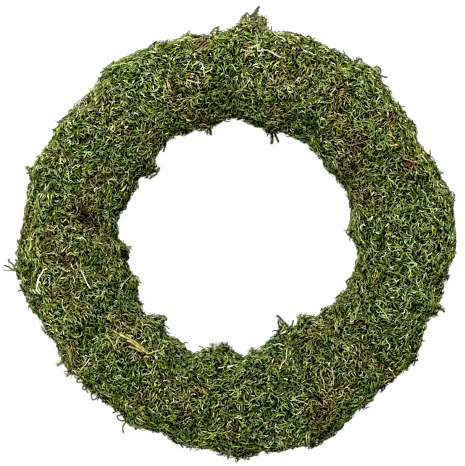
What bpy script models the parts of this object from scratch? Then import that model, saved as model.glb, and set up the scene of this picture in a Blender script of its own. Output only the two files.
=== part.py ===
"""A moss wreath of 30 cm: a straw ring with 14 mats of dried moss laid round it and bound on with thin wire.

It lies on its back on a table, in metres, with +Z up. The origin is on the table, under the middle of the whole
wreath, and the top of the photograph is towards +Y. Run it with: blender --background --python part.py
"""

import math
import random

import bmesh
import bpy
from mathutils import Vector, noise
from mathutils.bvhtree import BVHTree

# Driving dimensions. The tube is the ring's own cross-section: straw inside and moss outside.
RING_RADIUS = 0.1145  # from the ring's axis to the middle of the tube
RING_CENTRE = (0.0061, -0.0041)  # stray tufts at the left and the top move the ring off the middle of its box
TUBE_HEIGHT = 0.0290  # the tube's middle above the table
STRAW_RADIUS = 0.0235
MOSS_RADIUS = 0.0312  # from the tube's middle to the moss, under its sprigs
MAT_COUNT = 14
CLEARANCE = 0.0003  # between pieces that touch

# The moss mats. Each wraps the tube once, between one turn of the wire and the next, and meets the next mat
# along a seam at the inner underside.
SEAM_DEG = 235.0  # round the tube: 0 is outward, 90 is up, 180 faces the hole, 270 is down
FIRST_TURN_DEG = 98.0  # where the first mat starts round the ring
MAT_GAP = 0.0004
GROOVE_RADIUS = 0.0270  # from the tube's middle to the floor of the groove that the wire pulls in
GROOVE_SHARE = 0.18  # the part of a mat's width over which the moss rises out of the groove
SWELL_SHARE = 0.45  # the part of it over which a bulge comes up, so that it leaves the wire free
LUMP_HEIGHT = 0.0020
LUMP_SIZE = 0.016
MAT_COLUMNS, MAT_ROWS = 8, 18  # the patches of a mat's skin, across it and once round the tube
JITTER = 0.22  # how far a patch's corner strays from its place, as a share of a patch
LINING_COLUMNS, LINING_ROWS = 3, 12
UNDERSIDE_DEG = (250, 290)  # round the tube, where the wreath is pressed flat against the table

# How far the moss stands out of the even ring, in mm, every 20 degrees anticlockwise from +X: first away from the
# ring's axis, and then into the hole.
BULGE_STEP_DEG = 20
OUTER_BULGE_MM = (3, -1.5, -2, 1, -1, -1.5, 1, -3, 1.5, 1, 1.5, -1, -2.5, -0.5, 2, 2, -3, -1.5)
HOLE_BULGE_MM = (-1, -3.5, 0, -1.5, -0.5, -2.5, -2, 0, -0.5, 0, 5, -2.5, -3.5, 4, 3, 10, 0, -4)

# Tips: every patch of skin rises to a point of moss that leans over, so that points cover the whole mat.
TIP_HEIGHT = (0.0026, 0.0050)
TIP_LEAN = 0.42  # at most this share of a patch, so that no tip reaches over the next one
TIP_EDGE_SHARE = 0.062  # tips stay this part of a mat's width away from the wire

# Sprigs: longer three-sided fronds that rise out of some patches and curl over the others.
SPRIG_SHARE = 0.38  # of the patches that can carry one
SPRIG_STEP = (0.0030, 0.0048)  # along the skin, from one ring of a sprig to the next
SPRIG_RISE = (0.0034, 0.0058, 0.0050)  # above the skin: at the first ring, at the second and at the point
SPRIG_THICKNESS = (0.0016, 0.0011)  # from the middle to a corner, at the first ring and at the second
SPRIG_CURL_DEG = 40
SPRIG_DRAWS = 5  # how often one that would cross another is drawn again, before it is left out
SPRIG_EDGE_SHARE = 0.10  # sprigs stay this part of a mat's width away from the wire
COMB_SIZE = 0.045  # tips and sprigs closer together than this lie nearly the same way

# Tufts that break the outline, where the sprigs reach further out: (degrees round the ring, degrees round the
# tube, how much further out, how far round it).
TUFTS = (
    (84.5, 8, 0.0200, 0.013),
    (186.0, 5, 0.0260, 0.012),
    (141.0, 168, 0.0060, 0.009),
    (70.0, 172, 0.0060, 0.009),
    (262.0, 165, 0.0060, 0.012),
    (300.0, 175, 0.0050, 0.010),
    (188.0, 175, 0.0050, 0.010),
    (339.0, 8, 0.0060, 0.010),
    (270.0, 4, 0.0060, 0.011),
    (50.0, 8, 0.0060, 0.010),
)

WIRE_RADIUS = 0.0004
WIRE_LIFT = 0.0011  # the wire's middle above the groove's floor
WIRE_END = 0.03  # the part of a turn between either end of the wire and the place where the ends would meet

MOSS_GREEN = (0.075, 0.120, 0.022, 1)
STRAW_YELLOW = (0.55, 0.42, 0.20, 1)
WIRE_GREEN = (0.030, 0.060, 0.028, 1)

PITCH = 2 * math.pi / MAT_COUNT
SEAM = math.radians(SEAM_DEG)
FIRST_TURN = math.radians(FIRST_TURN_DEG)


def on_tube(around_ring, around_tube, radius):
    """The point at these two angles and this distance from the tube's middle, and never below the table."""
    reach = RING_RADIUS + radius * math.cos(around_tube)
    return Vector(
        (
            RING_CENTRE[0] + reach * math.cos(around_ring),
            RING_CENTRE[1] + reach * math.sin(around_ring),
            max(TUBE_HEIGHT + radius * math.sin(around_tube), 0.0),
        )
    )


def angles_in_mat(index, across, along):
    """The two angles of a place in a mat: across runs from one turn of the wire to the next, along once round."""
    return FIRST_TURN + (index + along + across) * PITCH, SEAM + along * 2 * math.pi


def place_in_mat(index, around_ring, around_tube):
    """The shares across and along a mat of a place given by its two angles."""
    along = (around_tube - SEAM) / (2 * math.pi)
    return (around_ring - FIRST_TURN) / PITCH - index - along, along


def bulge(amounts_mm, around_ring):
    """The bulge at this angle, in metres, on a smooth curve through the amounts."""
    place = math.degrees(around_ring) % 360 / BULGE_STEP_DEG
    first = int(place) % len(amounts_mm)
    share = (1 - math.cos(math.pi * (place - int(place)))) / 2
    return 0.001 * (amounts_mm[first] * (1 - share) + amounts_mm[(first + 1) % len(amounts_mm)] * share)


def fullness(index, around_ring, around_tube, groove_share=GROOVE_SHARE):
    """1 over most of a mat, falling to 0 at its edges, where the wire and the seam pull it in."""
    across, along = place_in_mat(index, around_ring, around_tube)
    from_wire = min(1.0, max(0.0, min(across, 1 - across)) / groove_share)
    from_seam = min(1.0, max(0.0, min(along, 1 - along)) / (groove_share / 3))
    return math.sin(math.pi / 2 * from_wire) * math.sin(math.pi / 2 * from_seam)


def skin_radius(index, around_ring, around_tube):
    """From the tube's middle to the mat's skin: the floor of the groove, the lumpy moss above it, the bulges."""
    lumps = LUMP_HEIGHT * noise.noise(on_tube(around_ring, around_tube, MOSS_RADIUS) / LUMP_SIZE)
    moss = (MOSS_RADIUS + lumps - GROOVE_RADIUS) * fullness(index, around_ring, around_tube)
    outward = math.cos(around_tube)
    swell = bulge(OUTER_BULGE_MM if outward > 0 else HOLE_BULGE_MM, around_ring) * abs(outward) ** 1.5
    return GROOVE_RADIUS + moss + swell * fullness(index, around_ring, around_tube, SWELL_SHARE) ** 2


def combed(around_ring, around_tube):
    """The way that the moss lies here, as an angle on the skin."""
    return 2 * math.pi * noise.noise(on_tube(around_ring, around_tube, MOSS_RADIUS) / COMB_SIZE)


def on_underside(around_tube):
    return UNDERSIDE_DEG[0] < math.degrees(around_tube) % 360 < UNDERSIDE_DEG[1]


def grid(bm, index, columns, rows, radius_at, jitter=0.0):
    """Rows of vertices over a whole mat, as far from the tube's middle as radius_at(around_ring, around_tube)."""
    draw = random.Random(index)
    side = MAT_GAP / 2 / ((RING_RADIUS - MOSS_RADIUS) * PITCH)
    end = MAT_GAP / 2 / (STRAW_RADIUS * 2 * math.pi)
    lines = []
    for row in range(rows + 1):
        line = []
        for column in range(columns + 1):
            strays = jitter if 0 < row < rows and 0 < column < columns else 0.0
            across = (column + draw.uniform(-strays, strays)) / columns
            along = (row + draw.uniform(-strays, strays)) / rows
            angles = angles_in_mat(index, side + (1 - 2 * side) * across, end + (1 - 2 * end) * along)
            line.append(bm.verts.new(on_tube(*angles, radius_at(*angles))))
        lines.append(line)
    return lines


def patch_corners(lines, row, column):
    """The four corners of a patch, in order round it."""
    return lines[row][column], lines[row][column + 1], lines[row + 1][column + 1], lines[row + 1][column]


def plain_patch(bm, corners, slant):
    """Two triangles, with the edge between them along one diagonal or the other."""
    a, b, c, d = corners
    return [bm.faces.new(t) for t in (((a, b, c), (a, c, d)) if slant else ((a, b, d), (b, c, d)))]


def join_edges(bm, first, second):
    """A strip of triangles between two lines of vertices of different counts that run side by side."""
    i = j = 0
    while i < len(first) - 1 or j < len(second) - 1:
        if (i + 1) * (len(second) - 1) <= (j + 1) * (len(first) - 1):
            bm.faces.new((first[i], first[i + 1], second[j]))
            i += 1
        else:
            bm.faces.new((first[i], second[j + 1], second[j]))
            j += 1


def rim(lines):
    """The four edges of a grid, each as a line of vertices."""
    return lines[0], [line[-1] for line in lines], lines[-1][::-1], [line[0] for line in lines][::-1]


def raise_tip(bm, index, corners, angles, draw):
    """Four triangles over a patch that rise to a point. The point leans the way that the moss is combed."""
    heading = combed(*angles) + draw.uniform(-0.8, 0.8)
    lean = TIP_LEAN * draw.uniform(0.4, 1.0)
    across, along = place_in_mat(index, *angles)
    across = min(max(across + lean * math.cos(heading) / MAT_COLUMNS, TIP_EDGE_SHARE), 1 - TIP_EDGE_SHARE)
    along += lean * math.sin(heading) / MAT_ROWS
    leaning = angles_in_mat(index, across, along)
    height = draw.uniform(*TIP_HEIGHT) * math.sqrt(fullness(index, *leaning))
    tip = bm.verts.new(on_tube(*leaning, skin_radius(index, *leaning) + height))
    for corner, after in zip(corners, corners[1:] + corners[:1]):
        bm.faces.new((corner, after, tip))


def stands_out(around_ring, around_tube):
    """How far a sprig here reaches past the others, because it is in one of the tufts."""
    here = on_tube(around_ring, around_tube, MOSS_RADIUS)
    for ring_deg, tube_deg, height, width in TUFTS:
        distance = (here - on_tube(math.radians(ring_deg), math.radians(tube_deg), MOSS_RADIUS)).length
        if distance < width:
            return height * (1 - 0.5 * distance / width)
    return 0.0


def sprig_route(index, around_ring, around_tube, draw):
    """The middles of a sprig's rings, and its point: it rises, leans over along the skin and curls."""
    heading = combed(around_ring, around_tube) + draw.uniform(-0.8, 0.8)
    turn = math.radians(SPRIG_CURL_DEG) * draw.choice((-1, 1))
    extra = stands_out(around_ring, around_tube)
    slide = draw.uniform(*SPRIG_STEP) * (0.5 if extra else 1.0)
    route = []
    for number, rise in enumerate(SPRIG_RISE):
        radius = skin_radius(index, around_ring, around_tube) + rise + extra * (number + 1) / len(SPRIG_RISE)
        route.append(on_tube(around_ring, around_tube, radius))
        around_ring += slide * math.cos(heading) / (RING_RADIUS + radius * math.cos(around_tube))
        around_tube += slide * math.sin(heading) / radius
        across, along = place_in_mat(index, around_ring, around_tube)
        across = min(max(across, SPRIG_EDGE_SHARE), 1 - SPRIG_EDGE_SHARE)
        around_ring, around_tube = angles_in_mat(index, across, along)
        heading += turn
    return route


def sprig_shell(corners, route):
    """A sprig on this triangle, two rings of three and a point: its points, and its triangles by their numbers."""
    middle = sum(corners, Vector()) / 3
    normal = (corners[1] - corners[0]).cross(corners[2] - corners[0]).normalized()
    points = list(corners)
    for number, thickness in enumerate(SPRIG_THICKNESS):
        before = route[number - 1] if number else middle
        turn = normal.rotation_difference(route[number + 1] - before)
        points += [route[number] + turn @ (corner - middle).normalized() * thickness for corner in corners]
    points.append(route[-1])
    triangles = []
    for low in range(0, len(points) - 4, 3):
        for a, b in ((low, low + 1), (low + 1, low + 2), (low + 2, low)):
            triangles += [(a, b, b + 3), (a, b + 3, a + 3)]
    low = len(points) - 4
    triangles += [(low, low + 1, low + 3), (low + 1, low + 2, low + 3), (low + 2, low, low + 3)]
    return points, triangles


def crosses(bm, face, points, triangles):
    """Whether a sprig on this face would cut through the table, the mat, another sprig or itself."""
    if min(point.z for point in points) < 0:
        return True
    bm.faces.index_update()
    bm.faces.ensure_lookup_table()
    sprig = BVHTree.FromPolygons(points, triangles)
    for number, hit in sprig.overlap(BVHTree.FromBMesh(bm)):
        rooted_at = {face.verts[corner] for corner in triangles[number] if corner < 3}
        if hit != face.index and not rooted_at & set(bm.faces[hit].verts):
            return True
    return any(not set(triangles[a]) & set(triangles[b]) for a, b in sprig.overlap(sprig))


def grow_sprig(bm, index, face, angles, draw):
    """Turns a triangle of skin into a sprig, unless each one drawn there would cross something."""
    corners = [vertex.co.copy() for vertex in face.verts]
    for _ in range(SPRIG_DRAWS):
        points, triangles = sprig_shell(corners, sprig_route(index, *angles, draw))
        if not crosses(bm, face, points, triangles):
            break
    else:
        return
    vertices = list(face.verts) + [bm.verts.new(point) for point in points[3:]]
    bm.faces.remove(face)
    for triangle in triangles:
        bm.faces.new([vertices[number] for number in triangle])


def cover_skin(bm, index, skin):
    """Tips over the whole mat apart from its flat underside, and sprigs on some of its patches."""
    draw = random.Random(100 + index)
    roots = []
    for row in range(MAT_ROWS):
        for column in range(MAT_COLUMNS):
            corners = patch_corners(skin, row, column)
            angles = angles_in_mat(index, (column + 0.5) / MAT_COLUMNS, (row + 0.5) / MAT_ROWS)
            at_edge = row in (0, MAT_ROWS - 1) or column in (0, MAT_COLUMNS - 1)
            chance = draw.random()
            if on_underside(angles[1]):
                plain_patch(bm, corners, (row + column) % 2)
            elif not at_edge and (chance < SPRIG_SHARE or stands_out(*angles)):
                roots.append((plain_patch(bm, corners, (row + column) % 2)[draw.randrange(2)], angles))
            else:
                raise_tip(bm, index, corners, angles, draw)
    for face, angles in roots:
        grow_sprig(bm, index, face, angles, draw)


def painted(name, colour, roughness, metallic=0.0):
    """A plain material."""
    material = bpy.data.materials.new(name)
    material.use_nodes = True
    shader = material.node_tree.nodes["Principled BSDF"]
    shader.inputs["Base Color"].default_value = colour
    shader.inputs["Roughness"].default_value = roughness
    shader.inputs["Metallic"].default_value = metallic
    return material


def keep(name, data, material):
    """An object in the scene that holds this mesh or curve."""
    made = bpy.data.objects.new(name, data)
    bpy.context.scene.collection.objects.link(made)
    data.materials.append(material)
    return made


def lining_radius():
    """The lining's flat facets cut inside its own radius, so it is wider than the straw by as much."""
    along_tube = STRAW_RADIUS * (1 - math.cos(math.pi / LINING_ROWS))
    along_ring = (RING_RADIUS + STRAW_RADIUS) * (1 - math.cos(PITCH / LINING_COLUMNS / 2))
    return STRAW_RADIUS + along_tube + along_ring + CLEARANCE


def moss_mat(index, material):
    """One mat of moss: a skin with tips and sprigs, a smooth lining that fits the straw, and four edges."""
    bm = bmesh.new()
    skin = grid(bm, index, MAT_COLUMNS, MAT_ROWS, lambda ring, tube: skin_radius(index, ring, tube), JITTER)
    lining = grid(bm, index, LINING_COLUMNS, LINING_ROWS, lambda ring, tube: lining_radius())
    for row in range(LINING_ROWS):
        for column in range(LINING_COLUMNS):
            plain_patch(bm, patch_corners(lining, row, column)[::-1], row % 2)
    for outer_edge, inner_edge in zip(rim(skin), rim(lining)):
        join_edges(bm, inner_edge, outer_edge)
    cover_skin(bm, index, skin)
    mesh = bpy.data.meshes.new(f"moss_mat_{index + 1:02d}")
    bm.to_mesh(mesh)
    bm.free()
    return keep(mesh.name, mesh, material)


def straw_ring(material):
    """The ring of bundled straw that carries the moss."""
    bpy.ops.mesh.primitive_torus_add(
        location=(*RING_CENTRE, TUBE_HEIGHT),
        major_radius=RING_RADIUS,
        minor_radius=STRAW_RADIUS,
        major_segments=MAT_COUNT * LINING_COLUMNS,
        minor_segments=10,
    )
    ring = bpy.context.object
    ring.name = ring.data.name = "straw_ring"
    ring.data.materials.append(material)
    ring.data.shade_smooth()
    return ring


def binding_wire(material):
    """One thin wire, wound once round the tube for each mat, in the grooves between them."""
    path = bpy.data.curves.new("binding_wire", "CURVE")
    path.dimensions = "3D"
    path.bevel_depth = WIRE_RADIUS
    path.bevel_resolution = 0
    path.use_fill_caps = True
    turns = [n / MAT_ROWS for n in range(1, MAT_COUNT * MAT_ROWS)]
    turns = [WIRE_END, *turns, MAT_COUNT - WIRE_END]
    spline = path.splines.new("POLY")
    spline.points.add(len(turns) - 1)
    for point, turn in zip(spline.points, turns):
        angles = (FIRST_TURN + turn * PITCH, SEAM + turn * 2 * math.pi)
        point.co = (*on_tube(*angles, GROOVE_RADIUS + WIRE_LIFT), 1)
    return keep("binding_wire", path, material)


def build():
    for old in list(bpy.data.objects):
        bpy.data.objects.remove(old)
    moss = painted("dried_moss", MOSS_GREEN, 0.95)
    straw_ring(painted("straw", STRAW_YELLOW, 0.8))
    binding_wire(painted("green_wire", WIRE_GREEN, 0.45, metallic=0.6))
    for index in range(MAT_COUNT):
        moss_mat(index, moss)


build()
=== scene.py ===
# %% [markdown]
# # A moss wreath
#
# The wreath is a ring of straw with 14 mats of dried moss bound round it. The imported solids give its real
# form and size. What they leave out is what makes moss look like moss: tens of thousands of curled
# branchlets, most less than a millimetre thick, over a dark matted ground. This file adds them.

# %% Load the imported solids
import itertools
import math

import bpy
import numpy as np
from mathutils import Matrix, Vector, noise
from mathutils.bvhtree import BVHTree


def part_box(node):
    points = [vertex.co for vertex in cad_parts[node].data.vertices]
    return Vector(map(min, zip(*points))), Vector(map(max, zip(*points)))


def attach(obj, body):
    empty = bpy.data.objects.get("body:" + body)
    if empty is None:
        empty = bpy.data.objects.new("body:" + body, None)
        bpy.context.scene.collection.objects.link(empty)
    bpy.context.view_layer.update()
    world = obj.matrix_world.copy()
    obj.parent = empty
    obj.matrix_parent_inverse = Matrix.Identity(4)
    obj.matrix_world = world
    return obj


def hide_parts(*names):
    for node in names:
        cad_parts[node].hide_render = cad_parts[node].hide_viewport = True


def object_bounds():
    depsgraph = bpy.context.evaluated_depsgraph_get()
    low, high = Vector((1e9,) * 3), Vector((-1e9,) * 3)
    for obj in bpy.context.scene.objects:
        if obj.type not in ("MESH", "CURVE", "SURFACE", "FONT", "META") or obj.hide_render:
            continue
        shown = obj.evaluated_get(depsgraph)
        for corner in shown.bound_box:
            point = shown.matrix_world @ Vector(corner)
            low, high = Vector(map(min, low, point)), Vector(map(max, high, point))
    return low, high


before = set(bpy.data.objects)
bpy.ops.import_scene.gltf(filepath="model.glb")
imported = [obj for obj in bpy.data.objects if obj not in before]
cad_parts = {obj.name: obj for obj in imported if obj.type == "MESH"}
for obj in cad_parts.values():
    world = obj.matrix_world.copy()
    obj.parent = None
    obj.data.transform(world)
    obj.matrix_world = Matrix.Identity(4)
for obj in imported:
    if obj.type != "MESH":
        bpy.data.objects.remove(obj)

MM = 0.001
MM_IN_METRE = 1000
CAD_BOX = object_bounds()
MATS = sorted(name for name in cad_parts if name.startswith("moss_mat"))


def in_mm(box):
    """The corners of a box in mm, to print."""
    return [[round(value / MM, 1) for value in corner] for corner in box]


print("packed box in mm:", in_mm(CAD_BOX))
print("mats:", len(MATS))

# %% [markdown]
# ## Where the ring lies
#
# The straw ring is an even torus, so its box gives the middle of the wreath, the height of the tube's middle
# and the radius from the axis to there. Everything below is placed from these three.

# %% Measure the ring
straw_low, straw_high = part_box("straw_ring")
RING_CENTRE = (straw_low + straw_high) / 2
CENTRE = np.array(RING_CENTRE)
# Half the thickness of the straw's own tube.
STRAW_RADIUS = 23.5 * MM
RING_RADIUS = (straw_high.x - straw_low.x) / 2 - STRAW_RADIUS
TUBE_HEIGHT = RING_CENTRE.z
print("ring centre", RING_CENTRE, "ring radius", round(RING_RADIUS / MM, 1), "mm")

# %% [markdown]
# ## The photograph's view
#
# The photograph looks straight at the wreath's front. Here the wreath lies on its back, so the camera looks
# straight down, with the wreath's top towards +Y. One pixel of the photograph is 0.70 mm on a plane through
# the middle of the tube, and the ring's middle is at a known pixel, so a pixel can be turned into a place.

# %% Camera
PHOTO_WIDTH, PHOTO_HEIGHT = 465, 466
MM_PER_PIXEL = 0.70
RING_PIXEL = (236.6, 238.9)
CAMERA_DISTANCE = 1.6
FARTHEST_SEEN = 10.0
SENSOR_MM = 36.0


def from_photo(x, y):
    """The place on the table, seen from above, of a pixel of the photograph."""
    across = (x - RING_PIXEL[0]) * MM_PER_PIXEL * MM
    up = (RING_PIXEL[1] - y) * MM_PER_PIXEL * MM
    return RING_CENTRE.x + across, RING_CENTRE.y + up


camera_data = bpy.data.cameras.new("photo_camera")
camera = bpy.data.objects.new("photo_camera", camera_data)
bpy.context.scene.collection.objects.link(camera)
bpy.context.scene.camera = camera
camera.location = (*from_photo(PHOTO_WIDTH / 2, PHOTO_HEIGHT / 2), TUBE_HEIGHT + CAMERA_DISTANCE)
camera_data.sensor_width = SENSOR_MM
frame_width = max(PHOTO_WIDTH, PHOTO_HEIGHT) * MM_PER_PIXEL * MM
camera_data.lens = SENSOR_MM * CAMERA_DISTANCE / frame_width
camera_data.clip_end = FARTHEST_SEEN
print("lens", round(camera_data.lens, 1), "mm")

# %% [markdown]
# ## Small tools
#
# Colours are written as sRGB hex values, as a paint program shows them, and turned to the linear values
# that a shader takes, with the numbers of the sRGB standard. One function adds a shader node with its
# settings and links.

# %% Colour and node helpers
def linear(hex_colour):
    """An sRGB hex colour as linear red, green, blue and alpha."""
    parts = [int(hex_colour[place : place + 2], 16) / 255 for place in (1, 3, 5)]
    return (*[part / 12.92 if part <= 0.04045 else ((part + 0.055) / 1.055) ** 2.4 for part in parts], 1.0)


def add_node(tree, kind, settings=None, links=None):
    """A shader node with these settings and inputs. An input is a value, or an output socket to link."""
    node = tree.nodes.new(kind)
    for name, value in (settings or {}).items():
        setattr(node, name, value)
    for name, value in (links or {}).items():
        if isinstance(value, bpy.types.NodeSocket):
            tree.links.new(value, node.inputs[name])
        else:
            node.inputs[name].default_value = value
    return node


# Some nodes have several sockets of one name. These are the places of the ones used here: a Mix node's colour
# sockets, a Map Range node's four limits, and a Math node's two values.
MIX_FACTOR, MIX_FIRST, MIX_SECOND, MIX_RESULT = 0, 6, 7, 2
FROM_LOW, FROM_HIGH, TO_LOW, TO_HIGH = 1, 2, 3, 4
MATH_FIRST, MATH_SECOND = 0, 1
# The Principled shader's names for two settings.
SOCKETS = {"ior": "IOR", "specular": "Specular IOR Level"}


def new_material(name, **settings):
    """A material with a Principled shader, its tree, and the shader."""
    material = bpy.data.materials.new(name)
    material.use_nodes = True
    shader = material.node_tree.nodes["Principled BSDF"]
    for socket, value in settings.items():
        shader.inputs[SOCKETS.get(socket, socket.capitalize())].default_value = value
    return material, material.node_tree, shader


def deselect_all():
    """Leaves no object selected."""
    for thing in bpy.context.selected_objects:
        thing.select_set(False)


def work_on(thing):
    """Makes this object the only selected one, and active."""
    deselect_all()
    thing.select_set(True)
    bpy.context.view_layer.objects.active = thing


# %% [markdown]
# ## Dried moss
#
# Dried and dyed moss is matt, with a faint gloss along each branchlet. Its body is a strong yellow-green,
# whole patches have gone olive or brown, and the ridge of a branchlet is pale, partly with dust and partly as
# a painted highlight. Images could carry those colours, but here each branchlet carries its own in an
# attribute: red is how much of that pale dust and painted highlight it has, green its tone, which carries
# painted shade as well, blue its hue, and alpha how far round it a point is, from its underside, painted dark
# as shade, to its ridge, painted light. The felt under the branchlets is the same moss, matted and dead, and
# painted nearly black as the shade between them.

# %% Moss material
# The colours of live moss to dead, from emerald over yellow-green and olive to brown.
HUE_STOPS = [
    (0.00, "#28761E"), (0.20, "#528A1E"), (0.40, "#7A9C26"), (0.62, "#9EA034"), (0.78, "#988038"),
    (0.90, "#705024"), (1.00, "#5A2C1A"),
]
# The pale of dust, which on the ridges is a painted highlight as well.
PALE_DUST_AND_HIGHLIGHT = "#F4F5CE"
# A ramp round each branchlet, from painted shade on its underside to a painted highlight on its ridge.
PAINTED_SHADE_TO_RIDGE_HIGHLIGHT = [(0.0, "#070900"), (0.20, "#42460A"), (0.46, "#DADC9C"), (0.62, "#FFFFFF")]
# Areas of this size are a little greener or browner. Such noise stays between about these two values.
PATCH_MM = 24.0
PATCH_NOISE = (0.3, 0.7)
PATCH_SHIFT = 0.12
# Dust and a painted highlight lie on the upper part of a branchlet, from the first to the second of these
# heights.
HIGHLIGHT_DUST_FROM, HIGHLIGHT_DUST_FULL = 0.2, 0.65


def multiplied(tree, first, second):
    """The product of two colours."""
    return add_node(
        tree, "ShaderNodeMix", {"data_type": "RGBA", "blend_type": "MULTIPLY"},
        {MIX_FACTOR: 1.0, MIX_FIRST: first, MIX_SECOND: second},
    ).outputs[MIX_RESULT]


def shaded(tree, amount, stops):
    """The colour that a ramp with these (place, hex colour) stops gives for this amount."""
    node = add_node(tree, "ShaderNodeValToRGB", links={"Fac": amount})
    elements = node.color_ramp.elements
    while len(elements) > 1:
        elements.remove(elements[-1])
    for number, (place, hex_colour) in enumerate(stops):
        element = elements[0] if number == 0 else elements.new(place)
        element.position = place
        element.color = linear(hex_colour)
    return node.outputs["Color"]


def mottling(tree, size_mm, detail):
    """Soft random lumps of about this size, from 0 to 1, that are fixed to the piece."""
    place = add_node(tree, "ShaderNodeTexCoord").outputs["Object"]
    inputs = {"Vector": place, "Scale": MM_IN_METRE / size_mm, "Detail": detail}
    return add_node(tree, "ShaderNodeTexNoise", links=inputs).outputs["Fac"]


def moss_material():
    """Curled branchlets: matt, green to brown, with painted shade round the sides and a pale ridge of dust
    and painted highlight.
    """
    material, tree, shader = new_material("dried_moss_curled", roughness=0.7, ior=1.4, specular=0.04)
    strand = add_node(tree, "ShaderNodeAttribute", {"attribute_name": "branchlet"})
    ridge = strand.outputs["Alpha"]
    parts = add_node(tree, "ShaderNodeSeparateColor", links={"Color": strand.outputs["Color"]}).outputs
    limits = {FROM_LOW: PATCH_NOISE[0], FROM_HIGH: PATCH_NOISE[1], TO_LOW: -PATCH_SHIFT, TO_HIGH: PATCH_SHIFT}
    patch = mottling(tree, size_mm=PATCH_MM, detail=2.0)
    shift = add_node(tree, "ShaderNodeMapRange", links={"Value": patch, **limits}).outputs["Result"]
    hue = add_node(
        tree, "ShaderNodeMath", {"operation": "ADD"}, {MATH_FIRST: parts["Blue"], MATH_SECOND: shift}
    ).outputs["Value"]
    body = shaded(tree, hue, HUE_STOPS)
    on_ridge = add_node(
        tree, "ShaderNodeMapRange", links={"Value": ridge, FROM_LOW: HIGHLIGHT_DUST_FROM, FROM_HIGH: HIGHLIGHT_DUST_FULL}
    ).outputs["Result"]
    dust = add_node(
        tree, "ShaderNodeMath", {"operation": "MULTIPLY"}, {MATH_FIRST: parts["Red"], MATH_SECOND: on_ridge}
    ).outputs["Value"]
    pale = add_node(
        tree, "ShaderNodeMix", {"data_type": "RGBA"},
        {MIX_FACTOR: dust, MIX_FIRST: body, MIX_SECOND: linear(PALE_DUST_AND_HIGHLIGHT)},
    ).outputs[MIX_RESULT]
    # Painted shade on the underside and a painted highlight on the ridge of each branchlet.
    colour = multiplied(tree, pale, shaded(tree, ridge, PAINTED_SHADE_TO_RIDGE_HIGHLIGHT))
    channels = {channel: parts["Green"] for channel in ("Red", "Green", "Blue")}
    tone = add_node(tree, "ShaderNodeCombineColor", links=channels).outputs["Color"]
    tree.links.new(multiplied(tree, colour, tone), shader.inputs["Base Color"])
    return material


def mottled_material(name, size_mm, detail, stops, **settings):
    """A material of one pattern: these colours, which change over about this many millimetres."""
    material, tree, shader = new_material(name, **settings)
    colour = shaded(tree, mottling(tree, size_mm, detail), stops)
    tree.links.new(colour, shader.inputs["Base Color"])
    return material


MOSS = moss_material()
# The felt of dead growth under the branchlets, painted nearly black as the shade between them: as dull as
# dust, with tufts 1.6 mm wide.
FELT_AND_PAINTED_SHADE_COLOURS = [(0.35, "#010100"), (0.55, "#040500"), (0.75, "#101202")]
FELT_AND_SHADE_MATERIAL = mottled_material(
    "dried_moss_matted_felt", size_mm=1.6, detail=3.0, stops=FELT_AND_PAINTED_SHADE_COLOURS, roughness=0.95, specular=0.03
)
print("materials", MOSS.name, FELT_AND_SHADE_MATERIAL.name)

# %% [markdown]
# ## One branchlet, modelled by hand
#
# A moss branchlet is a thin thread that curls. It could be a curve with a bevel, but thousands of them have
# to stay light, so each is a three-sided tube of a few short lengths that ends in a point. A triangle is
# added, facing along X, and its face is extruded, turned and narrowed again and again, as by hand. It
# climbs out of the felt and dips back into it. The shapes differ in how far they curl in all, from almost
# straight to nearly round, and each is made curling both ways, so that one suits every bend in the way that
# the moss lies. Young branchlets, old ones and long threads lie on the moss. Twigs and stems are straight,
# for tufts and stalks.

# %% Model the branchlets
SIDES = 3
BRANCHLET_RADIUS = 0.35 * MM
# How thick a branchlet's last section is beside its first, and how long its last step is beside the others.
TIP_NARROWNESS = 0.66
LAST_STEP = 0.6
# Lengths are in mm, turns in degrees, and a climb is the height won for each step along.
FIVE_RISE = (0.50, 0.24, 0.04, -0.18, -0.45)
FOUR_RISE = (0.45, 0.16, -0.08, -0.42)
THREE_RISE = (0.40, 0.05, -0.35)
THREAD_RISE = (0.20, 0.06, 0.0, 0.0, -0.06, -0.20)
YOUNG_SHAPES = {
    "straight": dict(length=5.8, turns=(10, -16, 14), climb=THREE_RISE),
    "bowed": dict(length=5.6, turns=(12, 30, 28), climb=THREE_RISE),
    "curled": dict(length=5.8, turns=(16, 42, 46, 42), climb=FOUR_RISE),
    "hooked": dict(length=5.8, turns=(-8, 8, 54, 74), climb=FOUR_RISE),
    "waved": dict(length=6.4, turns=(38, -8, -64, -34), climb=FOUR_RISE),
    "coiled": dict(length=6.6, turns=(28, 56, 64, 62, 52), climb=FIVE_RISE),
}
THREAD_SHAPES = {
    "thread_waved": dict(length=11.0, turns=(10, -24, -20, 18, 30, 16), climb=THREAD_RISE),
    "thread_bowed": dict(length=10.0, turns=(-6, 14, 24, 26, 12, -20), climb=THREAD_RISE),
}
OLD_SHAPES = {
    "old_bowed": dict(length=5.5, turns=(12, 30, 30), climb=THREE_RISE),
    "old_hooked": dict(length=5.0, turns=(10, 62, 70), climb=THREE_RISE),
    "old_waved": dict(length=5.8, turns=(36, -20, -56), climb=THREE_RISE),
}
TWIG = dict(length=8.0, turns=(0, 8, -12, 10), climb=(0.04, 0.06, -0.04, -0.06))
STEM = dict(length=6.0, turns=(0, 0, 0), climb=(0, 0, 0), narrowness=0.94, last_step=0.3)


def straight_reach(shape):
    """How far in mm an almost straight shape reaches, as its last step is shorter than the others."""
    steps = len(shape["turns"])
    return shape["length"] * ((steps - 1 + shape.get("last_step", LAST_STEP)) / steps)


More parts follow.
